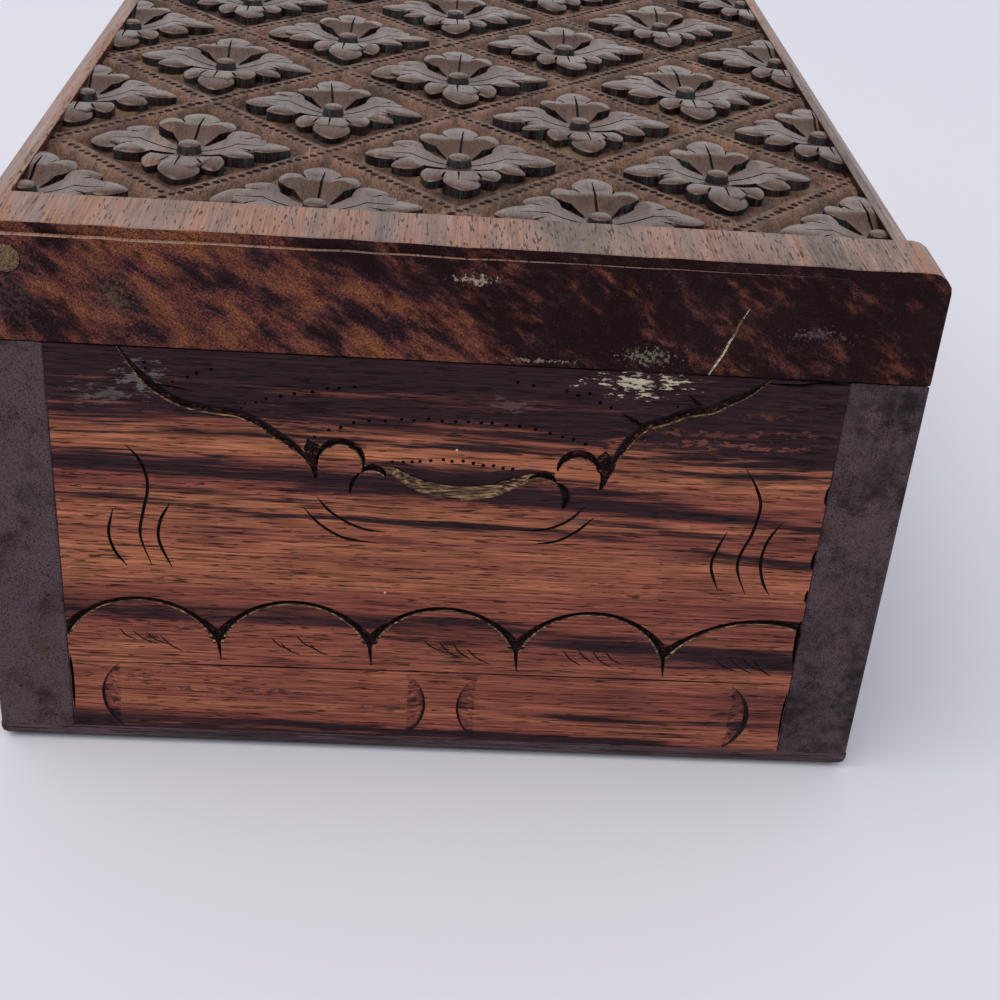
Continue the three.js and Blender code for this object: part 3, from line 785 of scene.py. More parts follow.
def metal(name, shade, roughness):
    """Aged metal with fine handling marks and a dull patina."""
    material, tree = new_material(name)
    add = partial(add_node, tree)
    patch_size = 5 / 3
    patches = add("TexNoise", {
        "Vector": add("TexCoord", {}, "Object"), "Scale": 1 / (patch_size * MM),
        "Detail": 5.0, "Roughness": 0.65})
    tone = add("ValToRGB", {"Fac": patches}, stops=[
        (0.35, opaque([c * 0.35 for c in shade])), (0.6, opaque(shade))])
    dull = add("MapRange", {
        "Value": patches, "From Min": 0.3, "From Max": 0.7,
        "To Min": roughness + 0.2, "To Max": roughness})
    bump = add("Bump", {"Height": patches, "Strength": 0.5, "Distance": 0.03 * MM})
    shader = add("BsdfPrincipled", {
        "Base Color": tone, "Metallic": 1.0, "Roughness": dull, "Normal": bump})
    add("OutputMaterial", {"Surface": shader})
    return material


# Every finish by its short name; main fills it before the operators run
WOODS = {}


# The carved lid

class CARVEDBOX_OT_lid_board(bpy.types.Operator):
    """Makes the lid's board: its strips, bevels and edges, with the field sunk for the carving"""

    bl_idname = "carvedbox.lid_board"
    bl_label = "Lid Board"

    def execute(self, context):
        field = in_mm(context.scene.box_field)
        lines = in_mm(context.scene.box_lines)
        low, high = box_mm("lid")
        floor = high.z - field.ground_depth - field.root
        bm = cut(frame_copy("lid"), block(
            (-field.half_width, -field.half_length, floor),
            (field.half_width, field.half_length, high.z + field.ground_depth)))
        flatten_joins(bm)
        wear_edges(bm, lines.edge_wear, least_length=4 * field.ground_depth)
        waver_ends(bm, low, high, lines.edge_waver)
        near = face_place((0, low.y, 0), (1, 0, 0), (0, -1, 0))
        crack = curve_through([
            (29.8, 59.5), (29.3, 58.5), (28.9, 57.6), (28.7, 56.7), (28.2, 55.7), (27.9, 54.7),
            (27.4, 53.6), (26.8, 52.4), (26.1, low.z - 1)], steps=3)
        crack = groove(crack, steep=0.1, gentle=0.12, depth=0.16, stains=(HOLLOW, HOLLOW))
        bm = cut(bm, moved(crack, near))
        rubbed_depth = 4
        rubbed_from = (high.z - rubbed_depth) * MM
        facing_down = -0.9

        def pick(face):
            """Rubbed wood on top, plain wood underneath, and elsewhere what the cutters left."""
            if face.calc_center_median().z > rubbed_from and face.normal.z > FACING_UP:
                return LINE
            return ROUGH if face.normal.z < facing_down else face.material_index

        woods = [WOODS[key] for key in ("lid_edge", "lid_strip", "side", "fibre", "chalk")]
        settle(bm, "lid_board", woods, LID, ["lid"], pick)
        return {"FINISHED"}


def waver_ends(bm, low, high, amount):
    """Lets the worn upper edges of the end strips waver a little, always inwards."""
    margin, pitch, reach, wave = 2, 3, 1.5, 8
    noise_row, noise_layer = 5, 2.5
    slice_across(bm, range(math.ceil(low.x) + margin, math.floor(high.x), pitch))
    for v in bm.verts:
        side = 1 if v.co.y > 0 else -1
        if v.co.z > high.z - reach and abs(v.co.y) > high.y - reach:
            shift = noise.noise_vector(Vector((v.co.x / wave, side * noise_row, noise_layer)))
            v.co.y -= side * amount * abs(shift.x)
            v.co.z -= amount * abs(shift.y)


def hearts(field):
    """Columns and rows of the flowers, up to those that the rims and strips cut off."""
    columns = math.ceil(field.half_width / field.column_pitch)
    rows = math.ceil(field.half_length / field.row_pitch)
    both = [(i, j) for i in range(-columns, columns + 1) for j in range(-rows, rows + 1)]
    return [(i, j) for i, j in both if (i + j) % 2]


def field_box(field, top):
    """The space over the ground inside the rims and strips, run a little into them."""
    x = field.half_width + field.root / 2
    y = field.half_length + field.root / 2
    floor = top - field.ground_depth - field.root
    return block((-x, -y, floor + field.root / 4), (x, y, top))


class CARVEDBOX_OT_ground(bpy.types.Operator):
    """Makes the uneven ground that the gouge leaves between the bands and the flowers"""

    bl_idname = "carvedbox.ground"
    bl_label = "Carved Ground"

    cells_across: IntProperty(name="Cells across", description="Cells across the ground", default=130)

    def execute(self, context):
        field = in_mm(context.scene.box_field)
        sizes = in_mm(context.scene.box_flower)
        band_foot = field.band_width / 2 * context.scene.box_field.band_foot_share
        top = box_mm("lid")[1].z
        level = top - field.ground_depth
        x = field.half_width + field.root / 4
        y = field.half_length + field.root / 4
        bm = bmesh.new()
        rows = round(self.cells_across * y / x)
        bmesh.ops.create_grid(bm, x_segments=self.cells_across, y_segments=rows, size=1)
        moved(bm, Matrix.Translation((0, 0, level)) @ stretched(x, y))
        corner = bm.verts.layers.float.new(CORNER)
        for v in bm.verts:
            strokes = 1.6 * abs(noise_at(v.co, (2.3, 2.3), layer=3.7)) - 0.4
            fine = 0.5 * abs(noise_at(v.co, (0.9, 1.4), layer=6.2))
            swell = 0.6 * noise_at(v.co, (11, 11), layer=8.1)
            v.co.z += field.gouge_depth * (strokes + fine + swell)
            # How deep in a corner each point lies, where the ground's material lays painted shade and dust
            v[corner] = nearness(v.co, field, sizes, band_foot)
        for v in drawn_out(bm, bm.faces[:]):
            v.co.z = level - field.root
        bmesh.ops.recalc_face_normals(bm, faces=bm.faces)
        settle(bm, "lid_carved_ground", [WOODS["ground"]], LID)
        return {"FINISHED"}


def nearness(place, field, f, band_foot):
    """How deep in a corner of the ground a point lies: 1 beside a flower or a band, 0 away from them."""
    reach = 1.3
    column, row = round(place.x / field.column_pitch), round(place.y / field.row_pitch)
    least = reach
    for i in (column - 1, column, column + 1):
        for j in (row - 1, row, row + 1):
            if (i + j) % 2 == 0:
                continue
            x, y = abs(place.x - i * field.column_pitch), abs(place.y - j * field.row_pitch)
            x, y = max(x, y), min(x, y)
            tip = math.hypot(x - f.tip_reach, y) - f.tip_radius
            side = math.hypot(x - f.side_reach, y - f.side_spread) - f.side_radius
            least = min(least, tip, side)
    aslant = math.hypot(1 / field.column_pitch, 1 / field.row_pitch)
    for lean in (1, -1):
        share = place.x / field.column_pitch + lean * place.y / field.row_pitch
        to_band = abs(share - 2 * round(share / 2)) / aslant - band_foot
        least = min(least, max(0, to_band) + reach / 4)
    return min(1, max(0, 1 - least / reach))


def band(field, top, start, end, foot_share, rng):
    """One band of the lattice between two points: a bar with soft, wavering edges."""
    height_play, rounding, slice_pitch = 0.06, 0.55, 3.1
    wave, sideways, upwards, noise_row = 5.5, 0.16, 0.05, 9
    start, end = Vector((*start, 0)), Vector((*end, 0))
    along = end - start
    foot = top - field.ground_depth - field.root
    head = top - field.band_drop + rng.uniform(-height_play, height_play)
    half = field.band_width / 2
    bm = block((0, -half, foot), (along.length, half, head))
    for v in bm.verts:
        if v.co.z < head - LEVEL:
            v.co.y *= foot_share
    along_top = [
        e for e in bm.edges
        if abs(e.verts[0].co.x - e.verts[1].co.x) > half and min(v.co.z for v in e.verts) > head - LEVEL
    ]
    rounded(bm, along_top, rounding, segments=3)
    steps = round(along.length / slice_pitch)
    slice_across(bm, [along.length * step / steps for step in range(1, steps)])
    seed = rng.uniform(0, 100)
    for v in bm.verts:
        if v.co.z > foot + LEVEL:
            side = 1 if v.co.y > 0 else -1
            shift = noise.noise_vector(Vector((v.co.x / wave, side * noise_row, seed)))
            v.co.y += sideways * shift.y
            v.co.z = min(v.co.z + upwards * shift.z, top)
    turn = Matrix.Rotation(math.atan2(along.y, along.x), 4, "Z")
    return moved(bm, Matrix.Translation(start) @ turn)


def band_lines(field):
    """The two ends of every band, a little past the field, for both ways that the bands lean."""
    overrun = 2
    half_width, half_length = field.half_width + overrun, field.half_length + overrun
    count = math.ceil(field.half_width / field.column_pitch + field.half_length / field.row_pitch)
    lines = []
    for lean in (1, -1):
        for k in range(-count, count + 1):
            if k % 2 == 0:
                ends = [
                    (k * field.column_pitch + lean * y * field.column_pitch / field.row_pitch, y)
                    for y in (-half_length, half_length)]
                lines.append(clip_line(*ends, half_width))
    return [ends for ends in lines if ends]


def clip_line(start, end, half):
    """The stretch of a line that lies between -half and half across, or None."""
    (x0, y0), (x1, y1) = start, end
    shares = sorted([(-half - x0) / (x1 - x0), (half - x0) / (x1 - x0)])
    low, high = max(0, shares[0]), min(1, shares[1])
    if low >= high:
        return None
    return [(x0 + (x1 - x0) * t, y0 + (y1 - y0) * t) for t in (low, high)]


def cone(radius, tip_radius, depth, sides=8):
    """A punch mark that opens upwards: its mouth is at height 0 and its foot at -depth."""
    bm = bmesh.new()
    bmesh.ops.create_cone(
        bm, cap_ends=True, cap_tris=False, segments=sides, radius1=tip_radius, radius2=radius, depth=depth
    )
    return moved(bm, Matrix.Translation((0, 0, -depth / 2)))


class CARVEDBOX_OT_lattice(bpy.types.Operator):
    """Makes the diagonal lattice of bands with its rows of punched dots"""

    bl_idname = "carvedbox.lattice"
    bl_label = "Lattice"

    seed: IntProperty(name="Seed", description="Changes the unevenness of the hand work", default=4)

    def execute(self, context):
        field = in_mm(context.scene.box_field)
        top = box_mm("lid")[1].z
        rng = random.Random(self.seed)
        lines = band_lines(field)
        foot_share = context.scene.box_field.band_foot_share
        bm = all_joined(band(field, top, start, end, foot_share, rng) for start, end in lines)

        mouth_share, tip_share, least_gap_share = 1.25, 0.55, 1.8
        along_play, aside_play = 0.1, 0.14
        mark = scratch(stained(cone(
            field.dot_radius * mouth_share, field.dot_radius * tip_share, 2 * field.dot_depth), WALL))
        dots = bmesh.new()
        placed = []
        level = top - field.band_drop
        for start, end in lines:
            start, end = Vector(start), Vector(end)
            along = (end - start).normalized()
            walked = rng.uniform(0, field.dot_pitch)
            while walked < (end - start).length:
                spot = start + along * (walked + rng.uniform(-along_play, along_play))
                spot += along.orthogonal() * rng.uniform(-aside_play, aside_play)
                walked += field.dot_pitch
                if any((spot - other).length < least_gap_share * field.dot_radius for other in placed):
                    continue
                placed.append(spot)
                depth = field.dot_depth * rng.uniform(0.45, 1.1)
                grow = rng.uniform(0.85, 1.12)
                place = Matrix.Translation((spot.x, spot.y, level + 2 * field.dot_depth - depth))
                add_copy(dots, mark.data, place @ stretched(grow, grow))
        discard(mark)
        bm = cut(bm, dots)
        bm = combined(bm, field_box(field, top), "INTERSECT")
        flatten_joins(bm, angle=0.2)
        settle(bm, "lid_lattice", [WOODS["ground"], WOODS["punch"]], LID)
        return {"FINISHED"}


def pointed(bm, radius):
    """Draws a round post out to a blunt point at high X."""
    longer, narrower = 0.14, 0.34
    for v in bm.verts:
        past = max(0, v.co.x) / radius
        v.co.x *= 1 + longer * past
        v.co.y *= 1 - narrower * past ** 2
    return bm


# Height of the flowers' foot under their tops, in millimetres, which lies below the ground
FLOWER_FOOT = -2.3


def petal(f, rng):
    """One petal along X with its top at height 0: three lobes and their web, scooped and veined."""
    side = f.side_spread + rng.uniform(-0.15, 0.15)
    tip = f.tip_reach + rng.uniform(-0.3, 0.2)
    half_outline = [(-0.6, 0.9), (1.9, 1.5), (f.side_reach - 0.7, side + 0.5), (tip, 1.5)]
    outline = [(x, -y) for x, y in half_outline] + half_outline[::-1]
    bm = prism(outline, FLOWER_FOOT, -f.web_drop)
    rim = [e for e in bm.edges if min(v.co.z for v in e.verts) > -f.web_drop - LEVEL]
    rounded(bm, rim, width=0.25, segments=2)
    lobes = [
        (tip, 0, f.tip_radius, 1.02), (f.side_reach, side, f.side_radius, 1.1),
        (f.side_reach, -side, f.side_radius, 1.1)]
    narrow, turn_share, sunk_share = 0.98, 0.8, 0.8
    for x, y, radius, longer in lobes:
        radius *= rng.uniform(0.93, 1.05)
        top = -rng.uniform(0, 0.08)
        post = pointed(spun_post(radius, top, FLOWER_FOOT, f.lobe_dome, fullness=0.9), radius)
        outwards, sideways = rng.uniform(-1, 8), rng.uniform(-7, 7)
        tilt = turned(outwards, "Y") @ turned(sideways, "X")
        steepest = max(abs(math.sin(math.radians(angle))) for angle in (outwards, sideways))
        turn = Matrix.Rotation(math.atan2(y, x) * turn_share, 4, "Z")
        place = Matrix.Translation((x, y, -sunk_share * radius * steepest))
        bm = joined(bm, moved(post, place @ turn @ tilt @ stretched(longer, narrow)))

    bm = cut(bm, scoop(f, turned(rng.uniform(-8, 8))))
    bm = cut(bm, stained(moved(vein_blade(f), turned(rng.uniform(-4, 4))), WALL))
    from_side_lobe, in_from_spread, knife_foot, knife_top = 1.35, 0.75, -0.55, 0.6
    knife_outline = [(0, -0.16), (0.9, -0.1), (f.knife_length, 0), (0.9, 0.14), (0, 0.16)]
    for hand in (1, -1):
        start = Matrix.Translation((f.side_reach + from_side_lobe, hand * (side - in_from_spread), 0))
        knife = prism(knife_outline, knife_foot, knife_top)
        heading = turned(hand * rng.uniform(196, 216))
        bm = cut(bm, stained(moved(knife, start @ heading), WALL))
    return bm


def scoop(f, turn):
    """The ball of the gouge, placed to sink a petal from its scoop's edge to its depth at the heart."""
    broader = 1.3
    ball = bmesh.new()
    bmesh.ops.create_uvsphere(ball, u_segments=72, v_segments=48, radius=f.scoop_radius)
    chord = Vector((f.scoop_reach - f.button_radius, f.scoop_depth))
    rise = math.sqrt(f.scoop_radius ** 2 - (chord.length / 2) ** 2)
    centre_x = f.scoop_reach - chord.x / 2 - rise * chord.y / chord.length
    drop = -f.scoop_depth / 2 + rise * chord.x / chord.length
    place = Matrix.Translation((centre_x, 0, drop)) @ stretched(1, broader)
    return moved(ball, turn @ place)


def vein_blade(f):
    """A thin blade along the petal that follows its top and its scoop."""
    inner, above, slant, tip_depth, heart_depth = 1.25, 1.0, 0.9, 0.05, 0.15
    middle = (f.scoop_reach + inner) / 2
    middle_depth = f.scoop_depth * 0.66 + f.vein_depth * 0.8
    profile = [
        (f.vein_reach, above), (f.vein_reach, -tip_depth), (f.vein_reach - slant, -f.vein_depth),
        (f.scoop_reach, -f.vein_depth - tip_depth), (middle, -middle_depth),
        (inner, -f.scoop_depth - heart_depth), (inner, above),
    ]
    blade = moved(prism(profile, -f.vein_width / 2, f.vein_width / 2), turned(90, "X"))
    narrowing, wider_above = 0.7, 1.2
    for v in blade.verts:
        past = max(0, v.co.x - f.scoop_reach) / (f.vein_reach - f.scoop_reach)
        v.co.y *= 1 - narrowing * past
        if v.co.z > 0:
            v.co.y *= wider_above
    return blade


def flower(f, rng):
    """A whole flower about the origin with its top at height 0."""
    petals = []
    for quarter in range(4):
        turn = turned(90 * quarter + rng.uniform(-3, 3))
        petals.append(moved(petal(f, rng), turn))
    bm = all_joined(petals)
    radius = f.button_radius * rng.uniform(0.95, 1.1)
    button = spun_post(radius, -f.button_drop, FLOWER_FOOT, dome=0.3, steps=16)
    spread = f.button_foot / f.button_radius
    for v in button.verts:
        if v.co.z < FLOWER_FOOT + LEVEL:
            v.co.x *= spread
            v.co.y *= spread
    play = 0.2
    off_middle = (rng.uniform(-play, play), rng.uniform(-play, play), 0)
    return joined(bm, moved(button, Matrix.Translation(off_middle)))


class CARVEDBOX_OT_flowers(bpy.types.Operator):
    """Makes the carved flowers, one in every diamond of the lattice"""

    bl_idname = "carvedbox.flowers"
    bl_label = "Flowers"

    seed: IntProperty(name="Seed", description="Changes the unevenness of the hand work", default=11)
    kinds: IntProperty(name="Kinds", description="Different flowers that take turns", default=5)

    def execute(self, context):
        field = in_mm(context.scene.box_field)
        sizes = in_mm(context.scene.box_flower)
        top = box_mm("lid")[1].z
        rng = random.Random(self.seed)
        kinds = [scratch(flower(sizes, rng)) for _ in range(self.kinds)]
        bm = bmesh.new()
        for i, j in hearts(field):
            kind = rng.choice(kinds)
            place = Vector((i * field.column_pitch, j * field.row_pitch, top))
            place += Vector((rng.uniform(-0.25, 0.25), rng.uniform(-0.25, 0.25), 0))
            turn = turned(rng.uniform(-2.5, 2.5))
            grow = rng.uniform(0.97, 1.03)
            add_copy(bm, kind.data, Matrix.Translation(place) @ turn @ stretched(grow, grow))
        for kind in kinds:
            discard(kind)
        bm = combined(bm, field_box(field, top), "INTERSECT")
        flatten_joins(bm, angle=0.2)

        def pick(face):
            """Stained wood on the steep walls, and elsewhere what the cutters left."""
            # The walls' wood is stained and streaked with a painted blue-grey reflection
            return WALL if face.normal.z < FACING_UP else face.material_index

        settle(bm, "lid_flowers", [WOODS["carving"], WOODS["wall"]], LID, pick=pick)
        return {"FINISHED"}


# Incised lines

def curve_through(points, steps=6):
    """A smooth line through a few chosen points."""
    if len(points) < 3:
        return [Vector(p) for p in points]
    knots = [Vector(p) for p in points]
    knots = [2 * knots[0] - knots[1], *knots, 2 * knots[-1] - knots[-2]]
    line = []
    for a, b, c, d in zip(knots, knots[1:], knots[2:], knots[3:]):
        for k in range(steps):
            t = k / steps
            line.append(0.5 * (2 * b + (c - a) * t + (2 * a - 5 * b + 4 * c - d) * t * t
                               + (3 * b - a - 3 * c + d) * t ** 3))
    line.append(Vector(points[-1]))
    return line


def arc_through(start, top, end, steps=14):
    """The round arc through three points."""
    (ax, ay), (bx, by), (cx, cy) = start, top, end
    d = 2 * (ax * (by - cy) + bx * (cy - ay) + cx * (ay - by))
    a2, b2, c2 = ax * ax + ay * ay, bx * bx + by * by, cx * cx + cy * cy
    centre = Vector((
        (a2 * (by - cy) + b2 * (cy - ay) + c2 * (ay - by)) / d,
        (a2 * (cx - bx) + b2 * (ax - cx) + c2 * (bx - ax)) / d,
    ))
    radius = (Vector(start) - centre).length
    angles = [math.atan2(p[1] - centre.y, p[0] - centre.x) for p in (start, end)]
    middle = math.atan2(by - centre.y, bx - centre.x)
    sweep = (angles[1] - angles[0]) % (2 * math.pi)
    if (middle - angles[0]) % (2 * math.pi) > sweep:
        sweep -= 2 * math.pi
    turns = [angles[0] + sweep * k / steps for k in range(steps + 1)]
    return [centre + radius * Vector((math.cos(a), math.sin(a))) for a in turns]


# Shares of the full width or depth at shares of the way along a cut
TAPERED = [(0, 0.15), (0.2, 1), (0.8, 1), (1, 0.15)]
MOON = [(0, 0.12), (0.15, 0.52), (0.32, 0.87), (0.5, 1), (0.68, 0.87), (0.85, 0.52), (1, 0.12)]
FADING = [(0, 1), (0.5, 0.8), (1, 0.15)]
SPLAYED = [(0, 2.8), (0.08, 2), (0.22, 1.2), (0.4, 1), (0.6, 1), (0.78, 1.2), (0.92, 2), (1, 2.8)]
EVEN = [(0, 1), (1, 1)]


def at_share(stops, share):
    """The value at a share of the way, between the stops on either side of it."""
    for (before, low), (after, high) in zip(stops, stops[1:]):
        if share <= after:
            return low + (high - low) * (share - before) / (after - before)
    return stops[-1][1]


def groove(
    line, steep, gentle, depth, side=1, widths=TAPERED, depths=TAPERED, stains=(LINE, LINE), lip=0.0
):
    """A cutter for a stop cut along a line. The face is at height 0 and the wood below it.

    The wood is cut down steeply on one side of the line and slopes down to it gently on the other,
    which is the left where side is 1. widths and depths shape the cut along its way, stains are the
    materials of its gentle and its steep side, and lip is the width of the torn edge on the steep
    side."""
    bm = bmesh.new()
    above, floor, lip_depth = 0.12, 0.03, 0.12
    last = len(line) - 1
    rings = []
    for k, point in enumerate(line):
        wide, deep = at_share(widths, k / last), depth * at_share(depths, k / last)
        before, after = line[max(0, k - 1)], line[min(last, k + 1)]
        heading = (after - before).normalized()
        across = Vector((-heading.y, heading.x)) * side
        rise = 1 + above / deep
        near, torn, low = steep * wide, lip * wide, min(lip_depth, deep / 2)
        corners = [(gentle * wide * rise, above)]
        if lip:
            corners += [(-near - torn * (1 + above / low), above), (-near, -low)]
        else:
            corners.append((-near * rise, above))
        corners += [(-floor, -deep), (floor, -deep)]
        places = [point + across * away for away, _ in corners]
        rings.append([bm.verts.new((*place, height)) for place, (_, height) in zip(places, corners)])
    # The torn edge is laid pale: partly torn fibres, partly a painted highlight on the face turned up to
    # the light
    torn_edge = [FIBRE] if lip else []
    shown = [stains[0], *torn_edge, stains[1], stains[0], stains[0]]
    for ring, following in zip(rings, rings[1:]):
        for k, stain in enumerate(shown):
            after = (k + 1) % len(ring)
            pairs = ((ring[k], ring[after]), (following[k], following[after]))
            edges = [bm.edges.get(pair) or bm.edges.new(pair) for pair in pairs]
            for face in bmesh.ops.bridge_loops(bm, edges=edges)["faces"]:
                face.material_index = stain
    for ring in (rings[0], rings[-1]):
        bm.faces.new(ring).material_index = stains[0]
    bmesh.ops.recalc_face_normals(bm, faces=bm.faces)
    return bm


def dot_row(points, pitch, rng):
    """Places of pricked dots along a smooth line."""
    play = 0.12
    line = curve_through(points, steps=12)
    spots, left = [], 0.0
    for a, b in zip(line, line[1:]):
        step = (b - a).length
        while left < step:
            aside = Vector((rng.uniform(-play, play), rng.uniform(-play, play)))
            spots.append(a + (b - a) * (left / step) + aside)
            left += pitch * rng.uniform(0.85, 1.15)
        left -= step
    return spots


def swag(lines):
    """The large drop under the lid: two scalloped wings that meet in small arches at a bowl."""
    left = curve_through([
        (-34.4, 52.4), (-33, 50.1), (-31.6, 48.3), (-30.2, 46.9), (-27.7, 45.5), (-24.8, 44.9),
        (-22.2, 44.6), (-20, 43.7), (-18.2, 42.4), (-16.3, 41.1), (-14.8, 39.5), (-13.8, 37.8)], steps=3)
    right = curve_through([
        (33.9, 52.4), (31.4, 50), (29.3, 48.8), (27.5, 47.7), (25.2, 47.2), (23, 46.2),
        (20.7, 45.2), (19, 43.1), (18, 41.2), (16.9, 38.8)], steps=3)
    bowl = curve_through([
        (-9.1, 39.2), (-6, 39.05), (-4.9, 38.55), (-2.9, 37.5), (-0.4, 36.9), (1.6, 36.7),
        (4.6, 37.05), (6.2, 37.7), (7.8, 38.3), (9.2, 38.95), (11.7, 39.1)], steps=3)
    left_tail = arc_through((-9, 38.3), (-9.9, 37), (-10.1, 35.5))
    right_tail = arc_through((11.9, 38.1), (13.1, 36.7), (12.8, 34.8))
    dished = dict(steep=0.05, gentle=lines.swag_slope, depth=lines.swag_depth / 2, stains=(WOOD, WOOD))
    # The gentle side of the large lines is stained black as the painted shadow at the foot of the cut
    lipped = dict(steep=0.3, depth=lines.swag_depth, stains=(LINE, ROUGH), lip=0.12)
    small = dict(
        steep=0.12, depth=lines.arch_depth, widths=MOON, depths=EVEN, stains=(ROUGH, LINE), lip=0.13)
    deep = dict(depth=lines.swag_depth, widths=FADING, depths=FADING, stains=(ROUGH, ROUGH))
    torn = dict(
        steep=1.5, gentle=1.5, depth=lines.arch_depth, stains=(ROUGH, ROUGH),
        widths=[(0, 0.12), (0.25, 0.3), (0.5, 0.6), (0.75, 0.8), (1, 0.15)],
        depths=[(0, 0.6), (0.5, 1), (0.75, 0.7), (1, 0.1)])
    return [
        groove(left, **dished), groove(right, side=-1, **dished),
        groove(left, gentle=0.85, **lipped), groove(right, gentle=1.0, side=-1, **lipped),
        groove(curve_through([(-30.2, 47.5), (-28, 47.2), (-26.2, 46.9)]), steep=0.2, gentle=0.2, **deep),
        groove(curve_through([(27.3, 47.7), (25.8, 48.5), (24.7, 49.6)]), steep=0.5, gentle=0.5, **deep),
        groove(curve_through([(20.6, 45.2), (19.4, 46), (18.2, 46.8)]), steep=0.5, gentle=0.5, **deep),
        # Torn wood between the wings and the arches, narrowing into the cuts that drop from them
        groove(curve_through([
            (-13.75, 37.3), (-14.05, 39), (-14.3, 40), (-14.5, 41), (-14.8, 42.2)]), **torn),
        groove(curve_through([(16.8, 37.5), (17.05, 39), (17.1, 40), (17, 41.2), (16.9, 42.4)]), **torn),
        groove(arc_through((-13.6, 38.9), (-11.3, 41.6), (-8.9, 38.6)), gentle=0.75, **small),
        groove(arc_through((12, 39.5), (13.9, 41.4), (16.3, 39.6)), gentle=0.9, **small),
        groove(arc_through((-8.9, 38.2), (-7.7, 38.6), (-6.4, 37.8)), gentle=1.0, **small),
        groove(arc_through((9, 38.3), (10.3, 38.7), (11.9, 38)), gentle=0.9, **small),
        # The bowl's upper slope is laid in the panel's wood painted darker as shade, its lower slope in
        # pale torn fibres with a painted highlight
        groove(bowl, steep=1.35, gentle=2, depth=0.7, widths=MOON, depths=MOON, stains=(HOLLOW, FIBRE)),
        groove(bowl, steep=0.1, gentle=1.15, depth=0.76, widths=MOON, depths=MOON, stains=(LINE, ROUGH)),
        groove(left_tail, steep=0.22, gentle=0.26, depth=0.5, widths=MOON, depths=EVEN),
        groove(right_tail, steep=0.5, gentle=0.5, depth=0.6, widths=MOON, depths=EVEN),
    ]


def knife_line(points, lines, share=1.0):
    """A plain cut of the knife, as wide to the left as to the right."""
    half = lines.line_width * share / 2
    return groove(curve_through(points), steep=half, gentle=half, depth=lines.line_depth * share)


def sprig(lines, *strokes):
    """A bent stem with a shorter leaf line on either side."""
    return [knife_line(points, lines) for points in strokes]


def whiskers(lines):
    """Two curved strokes on either side, under the bowl."""
    return [knife_line(points, lines, share=0.9) for points in (
        [(-13.6, 34.9), (-12.3, 33.3), (-10.3, 31.9), (-8.3, 31.1), (-6.2, 30.9)],
        [(-15, 33.5), (-13.6, 31.8), (-12, 30.6), (-10.3, 29.8), (-7, 29.4)],
        [(8.6, 31.9), (10.6, 32), (12.4, 32.6), (14, 33.7), (15.3, 35.3)],
        [(10.2, 30.2), (12.6, 30.7), (14.6, 32), (16.4, 33.9)])]


def scallops(lines, cusps, tops, heights, foot=15.3):
    """Arches between the cusps, and a tick that drops from every inner cusp."""
    cutters = []
    for (x0, x1), top, (z0, z1) in zip(zip(cusps, cusps[1:]), tops, heights):
        cutters.append(groove(
            arc_through((x0, z0), top, (x1, z1), steps=20), steep=0.1, gentle=0.4, depth=lines.arch_depth,
            widths=SPLAYED, depths=EVEN, stains=(ROUGH, LINE), lip=0.1))
    for x in cusps[1:-1]:
        tick = curve_through([(x, foot + 0.7), (x + 0.12, foot - 1), (x + 0.3, foot - 2.6)])
        cutters.append(groove(
            tick, steep=0.24, gentle=0.24, depth=lines.arch_depth, widths=FADING, depths=FADING))
    return cutters


def long_field(lines, x0, x1, dark=(0.28, 0.34), foot=2.7, top=11.6):
    """A long field with gouged round ends. dark are the widths of the steep side at both ends."""
    middle = (foot + top) / 2
    bulge = 1.9
    cutters = []
    for x, side, steep in ((x0, 1, dark[0]), (x1, -1, dark[1])):
        line = arc_through((x + side * bulge, top), (x, middle), (x + side * bulge, foot), steps=18)
        # The slope goes to the left of a cut, so the second one is cut from the foot up
        # The gentle slope of each gouged end is laid in the panel's wood painted darker as shade
        cutters.append(groove(
            line[::side], steep=steep, gentle=lines.crescent_width, depth=lines.crescent_depth,
            widths=MOON, depths=MOON, stains=(HOLLOW, LINE)))
    return cutters


def field_line(half):
    """The faint line along the top of the long fields."""
    line = curve_through([(-half, 11.7), (-half / 4, 12.05), (half / 4, 12.2), (half, 12.25)], steps=4)
    return groove(line, steep=0.1, gentle=0.1, depth=0.1)


def hatching(middles, foot, rng):
    """Faint slanting cuts under the scallops, a few round every middle."""
    strokes, pitch, first = 4, 1.6, -2.9
    sag = Vector((-0.2, -0.2))
    cutters = []
    for x in middles:
        for k in range(strokes):
            start = Vector((x + first + pitch * k + rng.uniform(-0.3, 0.3), foot + rng.uniform(0.4, 1.6)))
            end = start + Vector((rng.uniform(1.8, 2.8), -rng.uniform(1.4, 2.2)))
            stroke = curve_through([start, (start + end) / 2 + sag, end], steps=4)
            cutters.append(groove(stroke, steep=0.08, gentle=0.08, depth=0.1))
    return cutters


def joint_gaps():
    """Black gaps and nicks where an end panel has shrunk from the walls and the lid."""
    gaps = [
        ([(-41.4, 12.5), (-41.3, 9.5), (-41.35, 4.8)], 0.16),
        ([(-41.2, 3.1), (-39.5, 3.05)], 0.12),
        ([(41.35, 21.5), (41.25, 18.6), (41.4, 15.2)], 0.24),
        ([(41.45, 31), (41.3, 29.4), (41.45, 28.4)], 0.2),
        ([(41.45, 39.2), (41.35, 37.8), (41.45, 36.8)], 0.16),
        ([(41.4, 25.6), (41.35, 24.7), (41.4, 23.9)], 0.16),
        ([(41.4, 11), (41.3, 8), (41.4, 4)], 0.12),
        ([(32.8, 51.2), (36, 51.15), (38.4, 51.5), (41.6, 51.5)], 0.18),
    ]
    return [groove(curve_through(points), steep=half, gentle=half, depth=0.7) for points, half in gaps]


